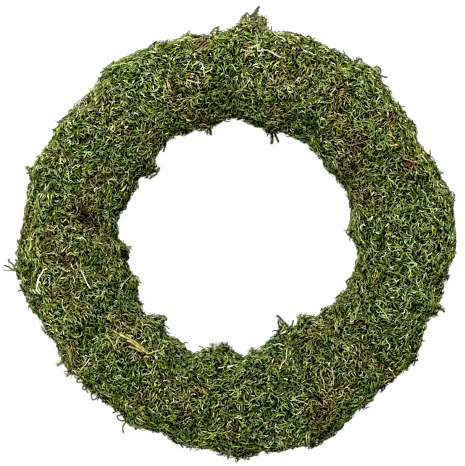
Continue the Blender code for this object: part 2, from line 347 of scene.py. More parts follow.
def model_branchlet(name, length, turns, climb, side, narrowness=TIP_NARROWNESS, last_step=LAST_STEP):
    """A curled branchlet that starts off along X, its root at the origin, and the middles of its sections."""
    deselect_all()
    bpy.ops.mesh.primitive_circle_add(
        vertices=SIDES, radius=BRANCHLET_RADIUS, fill_type="NGON", rotation=(0, -math.pi / 2, 0),
        enter_editmode=True,
    )
    bpy.ops.transform.rotate(value=-math.pi / 2, orient_axis="X", center_override=(0, 0, 0))
    heading, place = 0.0, Vector((0, 0, 0))
    middles = [place.copy()]
    narrowed = narrowness ** (1 / len(turns))
    for number, (turn, rise) in enumerate(zip(turns, climb), start=1):
        last = number == len(turns)
        turn = side * math.radians(turn)
        heading += turn
        step = Vector((math.cos(heading), math.sin(heading), rise)) * length * MM / len(turns)
        step *= last_step if last else 1.0
        place += step
        middles.append(place.copy())
        bpy.ops.mesh.extrude_region_move(TRANSFORM_OT_translate={"value": step})
        bpy.ops.transform.rotate(value=-turn, orient_axis="Z", center_override=place)
        if last:
            bpy.ops.mesh.merge(type="CENTER")
        else:
            bpy.ops.transform.resize(value=(narrowed,) * 3, center_override=place)
    bpy.ops.mesh.select_all(action="SELECT")
    bpy.ops.mesh.quads_convert_to_tris()
    bpy.ops.mesh.normals_make_consistent(inside=False)
    bpy.ops.object.mode_set(mode="OBJECT")
    branchlet = bpy.context.object
    branchlet.name = name
    bpy.ops.object.transform_apply(location=True, rotation=True, scale=True)
    return branchlet, np.array([middle[:] for middle in middles])


def turned_to_x(points, centres):
    """These with the middle of the branchlet at the origin and its two ends in line with X."""
    reach = centres[-1] - centres[0]
    angle = math.atan2(reach[1], reach[0])
    cosine, sine = math.cos(angle), math.sin(angle)
    turn = np.array([[cosine, -sine, 0], [sine, cosine, 0], [0, 0, 1]])
    middle = centres.mean(axis=0) * (1, 1, 0)
    return (points - middle) @ turn, (centres - middle) @ turn


# A section that is one point, such as the tip, has no height, and its point counts as halfway up.
NO_HEIGHT, HALF_UP = 1e-9, 0.5


def made_shape(name, shape, side, centred):
    """Models one shape, and reads its mesh, and each point's section and its place along and up the shape."""
    branchlet, centres = model_branchlet(f"branchlet_{name}", **shape, side=side)
    points = np.array([vertex.co[:] for vertex in branchlet.data.vertices])
    triangles = np.array([face.vertices[:] for face in branchlet.data.polygons])
    bpy.data.objects.remove(branchlet)
    section = np.linalg.norm(points[:, None] - centres[None], axis=2).argmin(axis=1)
    height = points[:, 2]
    low, high = (
        np.array([pick(height[section == number]) for number in section]) for pick in (np.min, np.max)
    )
    up = np.where(high > low, (height - low) / np.maximum(high - low, NO_HEIGHT), HALF_UP)
    if centred:
        points, centres = turned_to_x(points, centres)
    return dict(
        points=points, triangles=triangles, section=section, along=section / len(shape["turns"]), up=up,
        centres=centres, turn=side * math.radians(sum(shape["turns"])),
    )


def made_shapes(shapes, centred=True):
    """Each of these shapes, curling to its left and to its right."""
    return [made_shape(name, shape, side, centred) for name, shape in shapes.items() for side in (1, -1)]


SHAPES = made_shapes(YOUNG_SHAPES) + made_shapes(OLD_SHAPES) + made_shapes(THREAD_SHAPES)
YOUNG = range(0, 2 * len(YOUNG_SHAPES))
OLD = range(YOUNG.stop, YOUNG.stop + 2 * len(OLD_SHAPES))
THREADS = range(OLD.stop, len(SHAPES))
SHAPES += made_shapes(OLD_SHAPES, centred=False)
# The same old shapes with the root at the origin, for branchlets that grow out of a rim or a tuft.
ROOTED = range(THREADS.stop, len(SHAPES))
TWIG_SHAPE, STEM_SHAPE = len(SHAPES), len(SHAPES) + 1
SHAPES += [made_shape(name, shape, 1, centred=False) for name, shape in (("twig", TWIG), ("stem", STEM))]
print("branchlets:", len(SHAPES), "with", [len(shape["triangles"]) for shape in SHAPES], "triangles")

# %% [markdown]
# ## The matted ground of each mat
#
# Under its branchlets a mat is a felt of old growth, coloured nearly black as painted shade. The imported
# solid already is that mat, with its bulges and with tips and sprigs drawn larger than life. A copy of it,
# with doubled points merged, is remeshed, smoothed until the large tips have gone, and thinned out: what is
# left is the mat's own form, which the branchlets cover. Then the finer swellings and hollows of the
# wreath's outline, which a photograph shows best, are pushed out of it or pressed into it, and low lumps go
# all over. The felt ends up a little below the skin that the branchlets lie on, so that it only shows as the
# dark between them, where it stands for the shade in the gaps.

# %% Swellings and hollows
# Each row is an angle round the ring, how far the outline swells there in mm, and half its width in degrees.
OUTER_SWELLS = [
    (6, 6.8, 9), (13, -0.8, 4), (20, 2.0, 3), (25, -2.5, 4), (36, -1.0, 6), (52, 4.5, 6), (85, 4.0, 4),
    (97, -3.2, 5), (116, -2.2, 5), (128, 2.0, 3), (138, -2.5, 3), (147, 1.6, 2.5), (154, -2.0, 3),
    (159, 5.5, 4.5), (170, -1.5, 6), (176, 1.0, 3), (184.5, 7.5, 4.5), (191, 2.4, 4), (195, 1.5, 3),
    (205, -1.8, 3.5), (220, 0.5, 4), (226, -1.5, 4), (232, -1.0, 3), (240, 1.5, 3), (249, -1.5, 4),
    (260, 2.5, 5), (267, 2.5, 6), (284, 2.6, 5), (291, 6.5, 6), (303, -1.8, 4), (325, 5.5, 4),
    (335, -1.5, 3), (341, 2.0, 3),
]
HOLE_SWELLS = [
    (4, 2.0, 3.5), (13, -1.2, 4), (24, -1.2, 4), (40, 2.5, 4), (52, -2.0, 5), (65, -0.6, 3), (72, 3.0, 4),
    (88, -3.6, 6), (105, 2.5, 3), (126, -3.6, 7), (135, -2.0, 3), (142, 5.6, 5), (157, -1.6, 4),
    (173, -4.0, 9), (180, -3.0, 3), (185, 2.0, 3), (190.5, -1.2, 2.5), (199, 4.8, 5.5), (209, -2.0, 3),
    (219.5, -4.2, 3.5), (226, 5.5, 4), (248, -5.5, 4.5), (258, -3.0, 2.2), (269, -3.5, 4),
    (285, -1.6, 3.5), (299, 10.5, 4.5), (310, 5.6, 4), (322, 3.5, 3.5), (338, -1.6, 6), (346, -3.0, 4),
    (355, -4.5, 6),
]
# A swelling's foot is this many half-widths from its middle, and this is how fast it fades towards the top.
SWELL_FOOT = 1.6
SWELL_FADE = 1.2
LUMP_MM = 10.0
LUMP_HEIGHT = 1.3 * MM
# What is nearer to the tube's middle than this stays where it is, and nothing is pressed in further.
THINNEST = 27.0 * MM
FELT_RISE, SKIN_RISE = -0.6 * MM, 0.0


def noise_at(places, size_mm, shift=(0, 0, 0)):
    """Smooth noise from -1 to 1 at these places, with lumps of about this size."""
    shift = Vector(shift)
    return np.array([noise.noise(Vector(place) * (MM_IN_METRE / size_mm) + shift) for place in places])


def tube_outward(points):
    """For places on the ring: how far they are from the tube's middle, and the unit vectors away from it."""
    flat = points - CENTRE
    across = flat * (1, 1, 0)
    to_tube = across / np.linalg.norm(across, axis=1, keepdims=True) * RING_RADIUS
    outward = flat - to_tube
    distance = np.linalg.norm(outward, axis=1)
    return distance, outward / distance[:, None]


def swollen(points, risen):
    """These points of a mat's outer skin, risen so far, with the swellings, hollows and lumps."""
    distance, outward = tube_outward(points)
    flat = points - CENTRE
    angle = np.degrees(np.arctan2(flat[:, 1], flat[:, 0]))
    away = (outward[:, :2] * flat[:, :2]).sum(axis=1) / np.linalg.norm(flat[:, :2], axis=1)
    rise = noise_at(points, LUMP_MM) * 2 * LUMP_HEIGHT + risen
    for rows, side in ((OUTER_SWELLS, away), (HOLE_SWELLS, -away)):
        for middle, height, half_width in rows:
            turn = np.abs((angle - middle + 180) % 360 - 180) / (SWELL_FOOT * half_width)
            rise += height * MM * np.clip(1 - turn**2, 0, 1) ** 2 * np.clip(side, 0, 1) ** SWELL_FADE
    wanted = np.maximum(distance + rise, np.minimum(distance, THINNEST))
    wanted = np.where(distance > THINNEST, wanted, distance)
    return points + outward * (wanted - distance)[:, None]


# %% Make the ground of a mat
WELD_DISTANCE = 0.01 * MM
GROUND_VOXEL = 2.2 * MM
# How strong a smoothing is, how often it is repeated, and the share of the faces that is kept.
SMOOTHING = 0.5
GROUND_SMOOTHING, SKIN_SMOOTHING = 14, 30
GROUND_KEPT, SKIN_KEPT = 0.16, 0.35
# Each mat's ground is drawn out round the ring by this factor, because smoothing shrinks it from the seams.
SEAM_STRETCH = 1.09


def apply_modifier(thing, kind, **settings):
    """Adds one modifier to this object and applies it."""
    modifier = thing.modifiers.new(kind.lower(), kind)
    for name, value in settings.items():
        setattr(modifier, name, value)
    work_on(thing)
    bpy.ops.object.modifier_apply(modifier=modifier.name)


def ground_of(node_names, smoothing, kept, risen):
    """The points and triangles of one smooth surface over these mats. Kept is the share of its faces."""
    copies = []
    for node_name in node_names:
        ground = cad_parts[node_name].copy()
        ground.data = ground.data.copy()
        ground.parent = None
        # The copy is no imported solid, so that one's tags come off it.
        for key in list(ground.keys()):
            del ground[key]
        bpy.context.scene.collection.objects.link(ground)
        copies.append(ground)
    ground = copies[0]
    work_on(ground)
    for other in copies[1:]:
        other.select_set(True)
    if len(copies) > 1:
        bpy.ops.object.join()
    ground.name = f"ground_{len(copies)}"
    bpy.ops.object.mode_set(mode="EDIT")
    bpy.ops.mesh.select_all(action="SELECT")
    bpy.ops.mesh.remove_doubles(threshold=WELD_DISTANCE)
    bpy.ops.object.mode_set(mode="OBJECT")
    apply_modifier(ground, "REMESH", mode="VOXEL", voxel_size=GROUND_VOXEL)
    apply_modifier(ground, "SMOOTH", factor=SMOOTHING, iterations=smoothing)
    apply_modifier(ground, "DECIMATE", ratio=kept)
    ground.data.calc_loop_triangles()
    points = swollen(np.array([vertex.co[:] for vertex in ground.data.vertices]), risen)
    points[:, 2] = np.maximum(points[:, 2], 0.0)
    triangles = np.array([triangle.vertices[:] for triangle in ground.data.loop_triangles])
    bpy.data.objects.remove(ground)
    return points, triangles


def stretched(points):
    """These points of a mat's ground, drawn out round the ring from its middle, so that it meets the next."""
    flat = points - CENTRE
    angle = np.arctan2(flat[:, 1], flat[:, 0])
    middle = math.atan2(np.sin(angle).mean(), np.cos(angle).mean())
    extra = (SEAM_STRETCH - 1) * ((angle - middle + math.pi) % (2 * math.pi) - math.pi)
    cosine, sine = np.cos(extra), np.sin(extra)
    x, y = flat[:, 0] * cosine - flat[:, 1] * sine, flat[:, 0] * sine + flat[:, 1] * cosine
    return np.stack([x, y, flat[:, 2]], axis=1) + CENTRE


def search_tree(points, triangles):
    """A tree that finds what is nearest on this surface."""
    return BVHTree.FromPolygons([Vector(point) for point in points], triangles.tolist())


GROUNDS = [ground_of([node_name], GROUND_SMOOTHING, GROUND_KEPT, FELT_RISE) for node_name in MATS]
GROUNDS = [(stretched(points), triangles) for points, triangles in GROUNDS]
print("ground triangles:", sum(len(triangles) for _, triangles in GROUNDS))

# %% [markdown]
# ## The skin that the branchlets lie on
#
# The mats touch, and their moss grows over the seams. So the branchlets aren't laid on each ground by
# itself but on one skin over all of them: the same copies as one surface, smoothed further. It isn't kept
# as a piece. Every triangle of it belongs to the mat whose ground is nearest, and so does what lies on it.

# %% Make the skin
SKIN_POINTS, SKIN_TRIANGLES = ground_of(MATS, SKIN_SMOOTHING, SKIN_KEPT, SKIN_RISE)
SKIN = search_tree(SKIN_POINTS, SKIN_TRIANGLES)
GROUND_TREES = [search_tree(points, triangles) for points, triangles in GROUNDS]
SKIN_MATS = np.array(
    [
        np.argmin([tree.find_nearest(Vector(middle))[3] for tree in GROUND_TREES])
        for middle in SKIN_POINTS[SKIN_TRIANGLES].mean(axis=1)
    ]
)
print("skin triangles:", len(SKIN_TRIANGLES), "to each mat", np.bincount(SKIN_MATS).tolist())

# %% [markdown]
# ## How the branchlets lie
#
# Branchlets of moss lie side by side like combed hair that turns this way and that, a little apart, with
# dark gaps between. Hair curves would lie so too, but they are no mesh. So a smooth field of directions
# runs over the mats, and the rule puts down branchlets one by one along it, each only where it lies clear
# of those before: near at its sides, further at its ends. There are four layers, and a lower one is darker,
# partly as dead growth and partly as painted shade: old dark growth low in the felt, dim young growth over
# it, bright young growth on that, and a few long threads that cross the others.
# At the rims, short branchlets stand out of the ring's sides.

# %% Lay the branchlets out
# Where the way out of the tube points down more than this, on the underside, branchlets are larger and fewer.
UNDERSIDE_LEVEL = -0.15
UNDERSIDE_SCALE = 1.6
# Where it points up less than this, on the flanks, they lie further apart, in all by this share at its level.
FLANK_LEVEL = 0.5
FLANK_SPREAD = 0.5
# The comb turns over this distance, by up to this angle either way.
COMB_MM = 11.0
COMB_SWING = 1.2 * math.pi
# So many places are tried for each space that a branchlet takes, if the skin faces out of the tube this much.
TRIES = 7.0
FACING_OUT = 0.2
# A branchlet's up is the skin's normal, which turns on every lump, plus so much of the way out of the tube.
EVEN_OUT = 1.5
# How far ahead and behind the comb is felt, to find how far it bends.
PROBE = 2.5 * MM
# A triangle has three corners, one without area is left out, and a cell of space touches these others.
CORNERS = 3
NO_AREA = 1e-12
NEIGHBOURS = list(itertools.product((-1, 0, 1), repeat=3))


def combed(places, start):
    """The way that the moss lies at these places, as an angle from the direction round the ring."""
    return start + COMB_SWING * noise_at(places, COMB_MM, (start, -start, start))


def heading_vectors(places, normals, angles):
    """Unit vectors along the skin at these places, turned by these angles from the way round the ring."""
    flat = places - CENTRE
    ring = np.stack([-flat[:, 1], flat[:, 0], np.zeros(len(flat))], axis=1)
    ring -= normals * (ring * normals).sum(axis=1, keepdims=True)
    ring /= np.linalg.norm(ring, axis=1, keepdims=True)
    return ring * np.cos(angles)[:, None] + np.cross(normals, ring) * np.sin(angles)[:, None]


def laid_clear(places, headings, length, widths):
    """The numbers of the places to keep, so that branchlets there lie clear of those that came before."""
    kept, cells = [], {}
    cell_numbers = np.floor(places / length).astype(int)
    for number, (place, heading, width) in enumerate(zip(places, headings, widths)):
        i, j, k = cell_numbers[number]
        near = [other for di, dj, dk in NEIGHBOURS for other in cells.get((i + di, j + dj, k + dk), ())]
        if near:
            gaps = places[near] - place
            ahead = gaps @ heading
            aside = (gaps**2).sum(axis=1) - ahead**2
            if (ahead**2 / length**2 + aside / width**2).min() < 1:
                continue
        kept.append(number)
        cells.setdefault((i, j, k), []).append(number)
    return kept


def places_on_skin(length, width, draw):
    """Many places on the skin, their normals, how wide apart branchlets lie there, and their mats."""
    first, second, third = (SKIN_POINTS[SKIN_TRIANGLES[:, corner]] for corner in range(CORNERS))
    cross = np.cross(second - first, third - first)
    area = np.linalg.norm(cross, axis=1) / 2
    normals = cross / np.maximum(2 * area[:, None], NO_AREA)
    _, outward = tube_outward((first + second + third) / 3)
    below = outward[:, 2] < UNDERSIDE_LEVEL
    steepness = np.clip(1 - outward[:, 2] / FLANK_LEVEL, 0, 1)
    widths = np.where(below, width * UNDERSIDE_SCALE**2, width * (1 + FLANK_SPREAD * steepness))
    faces_out = (normals * outward).sum(axis=1) > FACING_OUT
    wanted = np.where(faces_out, TRIES * area / (length * widths), 0.0)
    counts = np.floor(wanted + draw.random(len(wanted))).astype(int)
    chosen = draw.permutation(np.repeat(np.arange(len(counts)), counts))
    share_a, share_b = draw.random((2, len(chosen)))
    flipped = share_a + share_b > 1
    share_a, share_b = np.where(flipped, 1 - share_a, share_a), np.where(flipped, 1 - share_b, share_b)
    places = (
        first[chosen]
        + share_a[:, None] * (second - first)[chosen]
        + share_b[:, None] * (third - first)[chosen]
    )
    leaning = normals[chosen] + EVEN_OUT * tube_outward(places)[1]
    leaning /= np.linalg.norm(leaning, axis=1, keepdims=True)
    return places, leaning, widths[chosen], SKIN_MATS[chosen]


# %% [markdown]
# ## Patches of colour
#
# The real wreath isn't one green. Some spots have gone brown where they dried first, some are the emerald
# of another moss, a few at the right are a fresh yellow-green, and some hollows are darkened nearly black as
# painted shade. A painted image could hold them, but it would run across the branchlets. So they are listed
# one by one, in the photograph's pixels, over the soft change of hue that runs everywhere, and they change
# whole branchlets.

# %% Patches
BROWN, GOLDEN, EMERALD = 0.86, 0.74, 0.14
# A patch fades over this share of its size. Its hue takes hold this much faster than its brightness.
PATCH_FADE = 0.75
PATCH_HOLD = 1.25
# Patches fade out down the flanks, to nothing at this share of the height of the tube's middle.
PATCH_BOTTOM = 0.5
# Each row is a pixel's x and y, a size in pixels, the hue, how much of it, and how bright the patch is, which
# for the dark hollows is painted shade.
PATCHES = [
    (205, 42, 11, BROWN, 0.6, 1.0), (193, 82, 9, BROWN, 0.7, 0.9), (176, 102, 7, BROWN, 0.6, 0.9),
    (125, 132, 8, BROWN, 0.6, 0.9), (86, 218, 13, BROWN, 0.9, 0.7), (70, 260, 11, BROWN, 0.75, 0.95),
    (60, 292, 9, BROWN, 0.5, 1.0), (76, 345, 9, BROWN, 0.7, 0.8), (124, 326, 13, BROWN, 0.7, 0.85),
    (142, 350, 7, GOLDEN, 1.0, 1.25), (132, 345, 7, GOLDEN, 1.0, 1.2), (115, 336, 9, 0.62, 1.0, 1.35),
    (203, 387, 8, BROWN, 0.8, 0.95), (322, 404, 14, BROWN, 0.8, 0.75), (360, 353, 9, BROWN, 0.75, 0.9),
    (315, 341, 7, BROWN, 0.6, 1.0), (232, 428, 7, BROWN, 0.6, 0.9), (353, 147, 11, BROWN, 0.7, 0.85),
    (335, 98, 12, BROWN, 0.65, 0.95), (389, 120, 8, BROWN, 0.75, 0.8), (358, 193, 9, BROWN, 0.8, 0.8),
    (406, 166, 10, BROWN, 0.65, 0.95), (248, 52, 6, BROWN, 0.7, 1.0), (97, 178, 7, BROWN, 0.5, 0.9),
    (275, 112, 7, BROWN, 0.5, 0.85), (432, 232, 6, BROWN, 0.5, 0.9), (228, 80, 9, EMERALD, 0.9, 0.9),
    (242, 105, 7, EMERALD, 0.7, 0.8), (305, 127, 9, EMERALD, 0.7, 0.9), (371, 100, 9, 0.3, 0.6, 1.2),
    (128, 160, 8, EMERALD, 0.6, 0.9), (368, 233, 9, EMERALD, 0.8, 1.0), (398, 214, 10, 0.3, 0.7, 1.15),
    (432, 257, 10, 0.32, 0.8, 1.25), (203, 444, 10, 0.38, 0.6, 1.2), (398, 286, 11, EMERALD, 0.6, 1.0),
    (389, 340, 13, EMERALD, 0.7, 1.0), (128, 372, 13, EMERALD, 0.75, 0.95),
    (104, 366, 8, EMERALD, 0.6, 1.0), (119, 300, 8, EMERALD, 0.6, 0.9), (270, 401, 9, EMERALD, 0.6, 1.0),
    (290, 415, 9, EMERALD, 0.6, 0.95), (185, 362, 7, EMERALD, 0.5, 0.9), (18, 268, 9, EMERALD, 0.5, 1.0),
    (72, 182, 9, EMERALD, 0.4, 1.0), (345, 175, 10, 0.45, 0.3, 0.42), (322, 428, 13, 0.45, 0.3, 0.45),
    (225, 105, 14, 0.45, 0.1, 0.62), (205, 110, 10, 0.45, 0.1, 0.62), (290, 118, 12, 0.45, 0.1, 0.65),
    (85, 215, 12, 0.8, 0.2, 0.85), (190, 420, 10, 0.45, 0.1, 0.65), (105, 180, 10, 0.5, 0.1, 0.75),
    (270, 62, 12, 0.5, 0.1, 1.2), (145, 80, 16, 0.5, 0.1, 1.15), (382, 154, 30, 0.5, 0.05, 0.82),
    (400, 208, 9, 0.4, 0.1, 1.2), (60, 110, 14, 0.5, 0.1, 1.1),
]


def patched(places, hue, tone):
    """The hue and tone of these places after the patches. Those on the underside stay as they were."""
    x = RING_PIXEL[0] + (places[:, 0] - RING_CENTRE.x) / (MM_PER_PIXEL * MM)
    y = RING_PIXEL[1] - (places[:, 1] - RING_CENTRE.y) / (MM_PER_PIXEL * MM)
    on_top = np.clip(places[:, 2] / TUBE_HEIGHT - PATCH_BOTTOM, 0, 1)
    for middle_x, middle_y, size, patch_hue, strength, brightness in PATCHES:
        away = (x - middle_x) ** 2 + (y - middle_y) ** 2
        near = np.exp(-away / (2 * (PATCH_FADE * size) ** 2)) * on_top
        hue = hue + (patch_hue - hue) * np.clip(PATCH_HOLD * strength * near, 0, 1)
        tone = tone * (1 + (brightness - 1) * near)
    return hue, tone


print("patches:", len(PATCHES))

# %% Hue, tone and dust
# A branchlet's hue is this middle one, and swings this far either way over this distance, with this spread.
HUE_MIDDLE, HUE_SWING, HUE_SPREAD = 0.45, 0.2, 0.05
HUE_MM = 11.0
# This share of the branchlets is dead, and that much browner than the live ones round them.
DEAD_SHARE, DEAD_HUE = 0.07, 0.32
# Branchlets stand in clumps of about this size. As painted light and shade, a clump is up to this share
# brighter, and the gaps darker.
CLUMP_MM = 5.5
CLUMP_PAINTED_LIGHT_AND_SHADE = 0.18
# Single branchlets differ from that by about this share, but none is darker or brighter than these.
TONE_SPREAD = 0.24
TONE_RANGE = (0.003, 1.4)
# Painted shade makes growth darker the less it faces up: its share of tone on the flanks, how much it gains
# as it turns up until it has it all, and the least that is left on the underside.
PAINTED_FLANK_SHADE, PAINTED_SHADE_UPWARD_GAIN, PAINTED_SHADE_LEAST = 0.74, 0.6, 0.55
# What faces the hole is darker, by up to this share.
HOLE_SHADE = 0.25
# The two numbers of a beta distribution: most branchlets have a little dust, and about one in seven a lot. A
# layer's darkest branchlets keep this share of it, and its brightest get so much more, as a painted
# highlight.
DUST = (1.0, 2.8)
DEEP_DUST, TOP_DUST_AND_HIGHLIGHT = 0.6, 0.6
# Painted shade along a branchlet: its tone, from its root, dark in the felt, to its tip, dimmer where it dips
# back in.
ALONG = [0.0, 0.15, 0.35, 0.90, 1.0]
PAINTED_SHADE_ALONG = [0.02, 0.40, 1.0, 1.0, 0.5]


def shade_in_hole(places, normals):
    """How much darker these places are for facing the hole: 1 for the rest."""
    flat = (places - CENTRE)[:, :2]
    inward = -(flat * normals[:, :2]).sum(axis=1) / np.linalg.norm(flat, axis=1)
    return 1 - HOLE_SHADE * np.clip(inward, 0, 1)


print("mean share of dust:", round(DUST[0] / sum(DUST), 2))

# %% Layers of branchlets
# Each layer: how long and wide a space a branchlet takes in mm, the shapes, how high it lies in mm and how
# much that varies, its tone from lowest to highest, low for the lower layers partly as painted shade, where
# its comb starts, how far branchlets stray from it, how far in mm a clump rises, how large the branchlets
# are, and their share of dust and painted highlight.
LAYERS = {
    "old": dict(
        length=4.4, width=2.3, shapes=OLD, lift=-0.3, uneven=0.2, tones=(0.003, 0.045), comb=1.3, stray=0.9,
        clumped=0.4, scales=(0.8, 1.15), dusty=0.5,
    ),
    "low": dict(
        length=4.4, width=1.25, shapes=YOUNG, lift=0.1, uneven=0.2, tones=(0.008, 0.19), comb=2.2, stray=0.6,
        clumped=0.6, scales=(0.72, 1.1), dusty=0.85,
    ),
    "high": dict(
        length=3.1, width=1.0, shapes=YOUNG, lift=0.9, uneven=0.4, tones=(0.12, 1.17), comb=0.0, stray=0.5,
        clumped=0.6, scales=(0.6, 1.0), dusty=1.0,
    ),
    "threads": dict(
        length=9.0, width=5.0, shapes=THREADS, lift=1.5, uneven=0.2, tones=(0.4, 0.9), comb=0.7, stray=0.9,
        clumped=0.8, scales=(0.7, 1.1), dusty=1.0,
    ),
}
# A layer's brightest branchlets lie about this many mm above its darkest, so the lower ones carry painted
# shade, and none lies deeper than this.
LAYER_DEPTH, DEEPEST = 0.5, -0.8
# How freely a shape is chosen that doesn't bend just as the comb does, in radians.
MISFIT = 0.8
LAYER_SEED, TUFT_SEED = 5, 77
NUMBERS = [(name, "f8") for name in ("scale", "tone", "hue", "dust", "lift")]
ROW = np.dtype([("start", "f8", 3), ("axes", "f8", (3, 3)), ("shape", "i4"), ("mat", "i4")] + NUMBERS)
# The lift of a piece that stands free, and isn't laid on the skin.
FREE = -1.0


def filled_rows(count, **columns):
    """So many rows, with these values in their columns."""
    rows = np.zeros(count, ROW)
    for name, values in columns.items():
        rows[name] = values
    return rows


def fitting_shapes(shapes, turns, draw):
    """For each of these turns, one of the shapes that curls about that far."""
    curls = np.array([SHAPES[number]["turn"] for number in shapes])
    misfit = np.abs(curls[None, :] - turns[:, None]) + draw.exponential(MISFIT, (len(turns), len(curls)))
    return np.array(shapes)[misfit.argmin(axis=1)]


def layer_rows(layer, draw):
    """One row for each branchlet of this layer, all round the ring."""
    length, width = layer["length"] * MM, layer["width"] * MM
    places, normals, widths, mats = places_on_skin(length, width, draw)
    angles = combed(places, layer["comb"]) + draw.normal(0, layer["stray"], len(places))
    headings = heading_vectors(places, normals, angles)
    kept = laid_clear(places, headings, length, widths)
    places, normals, headings, count = places[kept], normals[kept], headings[kept], len(kept)
    ahead, behind = (combed(places + way * headings * PROBE, layer["comb"]) for way in (1, -1))
    level = draw.random(count)
    hue = HUE_MIDDLE + HUE_SWING * noise_at(places, HUE_MM) + draw.normal(0, HUE_SPREAD, count)
    hue += DEAD_HUE * (draw.random(count) < DEAD_SHARE)
    lowest, highest = layer["tones"]
    # Painted shade: the lower a branchlet lies in its layer, the darker it is.
    tone = (lowest + level * (highest - lowest)) * np.exp(draw.normal(0, TONE_SPREAD, count))
    # Painted shade on growth that faces down or into the hole.
    shade = np.clip(PAINTED_FLANK_SHADE + PAINTED_SHADE_UPWARD_GAIN * normals[:, 2], PAINTED_SHADE_LEAST, 1.0)
    clump = noise_at(places, CLUMP_MM)
    tone *= shade * shade_in_hole(places, normals)
    # Painted light on the raised clumps and painted shade in the gaps between them.
    hue, tone = patched(places, hue, tone * (1 + CLUMP_PAINTED_LIGHT_AND_SHADE * clump))
    larger = np.where(normals[:, 2] < UNDERSIDE_LEVEL, UNDERSIDE_SCALE, 1.0)
    scale = draw.uniform(*layer["scales"], count) * larger
    shape = fitting_shapes(layer["shapes"], ahead - behind, draw)
    # Brighter branchlets get more of the pale: dust and painted highlight.
    dust = layer["dusty"] * draw.beta(*DUST, count) * (DEEP_DUST + TOP_DUST_AND_HIGHLIGHT * level**2)
    lift = layer["lift"] + LAYER_DEPTH * (level - 0.5) + draw.normal(0, layer["uneven"], count)
    return filled_rows(
        count, start=places, axes=np.stack([headings, np.cross(normals, headings), normals], axis=1),
        scale=scale, shape=shape, tone=tone, hue=hue, dust=np.clip(dust, 0, 1), mat=mats[kept],
        lift=(np.maximum(lift, DEEPEST) + layer["clumped"] * clump) * MM,
    )


print("a row holds:", ", ".join(ROW.names))

# %% The rims
RIM_LENGTH, RIM_WIDTH = 3.8 * MM, 1.75 * MM
# Rim branchlets grow where the skin's normal is about level, as far from this as the band allows.
RIM_LEVEL, RIM_BAND = 0.08, 0.36
# How far they lean out, in degrees.
RIM_LEAN = (0, 20)
RIM_TONES = (0.02, 0.45)
RIM_HUE_SPREAD = 0.12
RIM_THICKER = 1.45
# Their clumps: how large, how far each stands out, and how much longer its branchlets are.
RIM_CLUMP_MM, RIM_CLUMPED, RIM_CLUMP_LONGER = 6.5, 1.7 * MM, 0.6
RIM_SCALES = (0.65, 1.15)


def rim_rows(draw):
    """Short branchlets that stand out of the sides of the ring, where its outline is seen from the front."""
    places, normals, _, mats = places_on_skin(RIM_LENGTH, RIM_WIDTH, draw)
    headings = heading_vectors(places, normals, draw.uniform(0, 2 * math.pi, len(places)))
    kept = np.array(laid_clear(places, headings, RIM_LENGTH, np.full(len(places), RIM_WIDTH)))
    kept = kept[np.abs(normals[kept][:, 2] - RIM_LEVEL) < RIM_BAND]
    places, normals, headings, count = places[kept], normals[kept], headings[kept], len(kept)
    lean = np.radians(draw.uniform(*RIM_LEAN, count))[:, None]
    along = headings * np.cos(lean) + normals * np.sin(lean)
    upward = normals * np.cos(lean) - headings * np.sin(lean)
    clump = noise_at(places, RIM_CLUMP_MM)
    scale = draw.uniform(*RIM_SCALES, count) * (1 + RIM_CLUMP_LONGER * clump)
    shape = draw.choice(ROOTED, count)
    hue = draw.normal(HUE_MIDDLE, RIM_HUE_SPREAD, count)
    hue, tone = patched(places, hue, draw.uniform(*RIM_TONES, count))
    return filled_rows(
        count, start=places + normals * (RIM_CLUMPED * clump)[:, None],
        axes=np.stack([along, RIM_THICKER * np.cross(upward, along), RIM_THICKER * upward], axis=1),
        scale=scale, shape=shape, tone=tone, hue=hue, dust=draw.beta(*DUST, count), lift=FREE, mat=mats[kept],
    )


LAYER_DRAW = np.random.default_rng(LAYER_SEED)
LAYER_ROWS = {name: layer_rows(layer, LAYER_DRAW) for name, layer in LAYERS.items()}
LAYER_ROWS["rim"] = rim_rows(LAYER_DRAW)
print("branchlets:", {name: len(rows) for name, rows in LAYER_ROWS.items()})
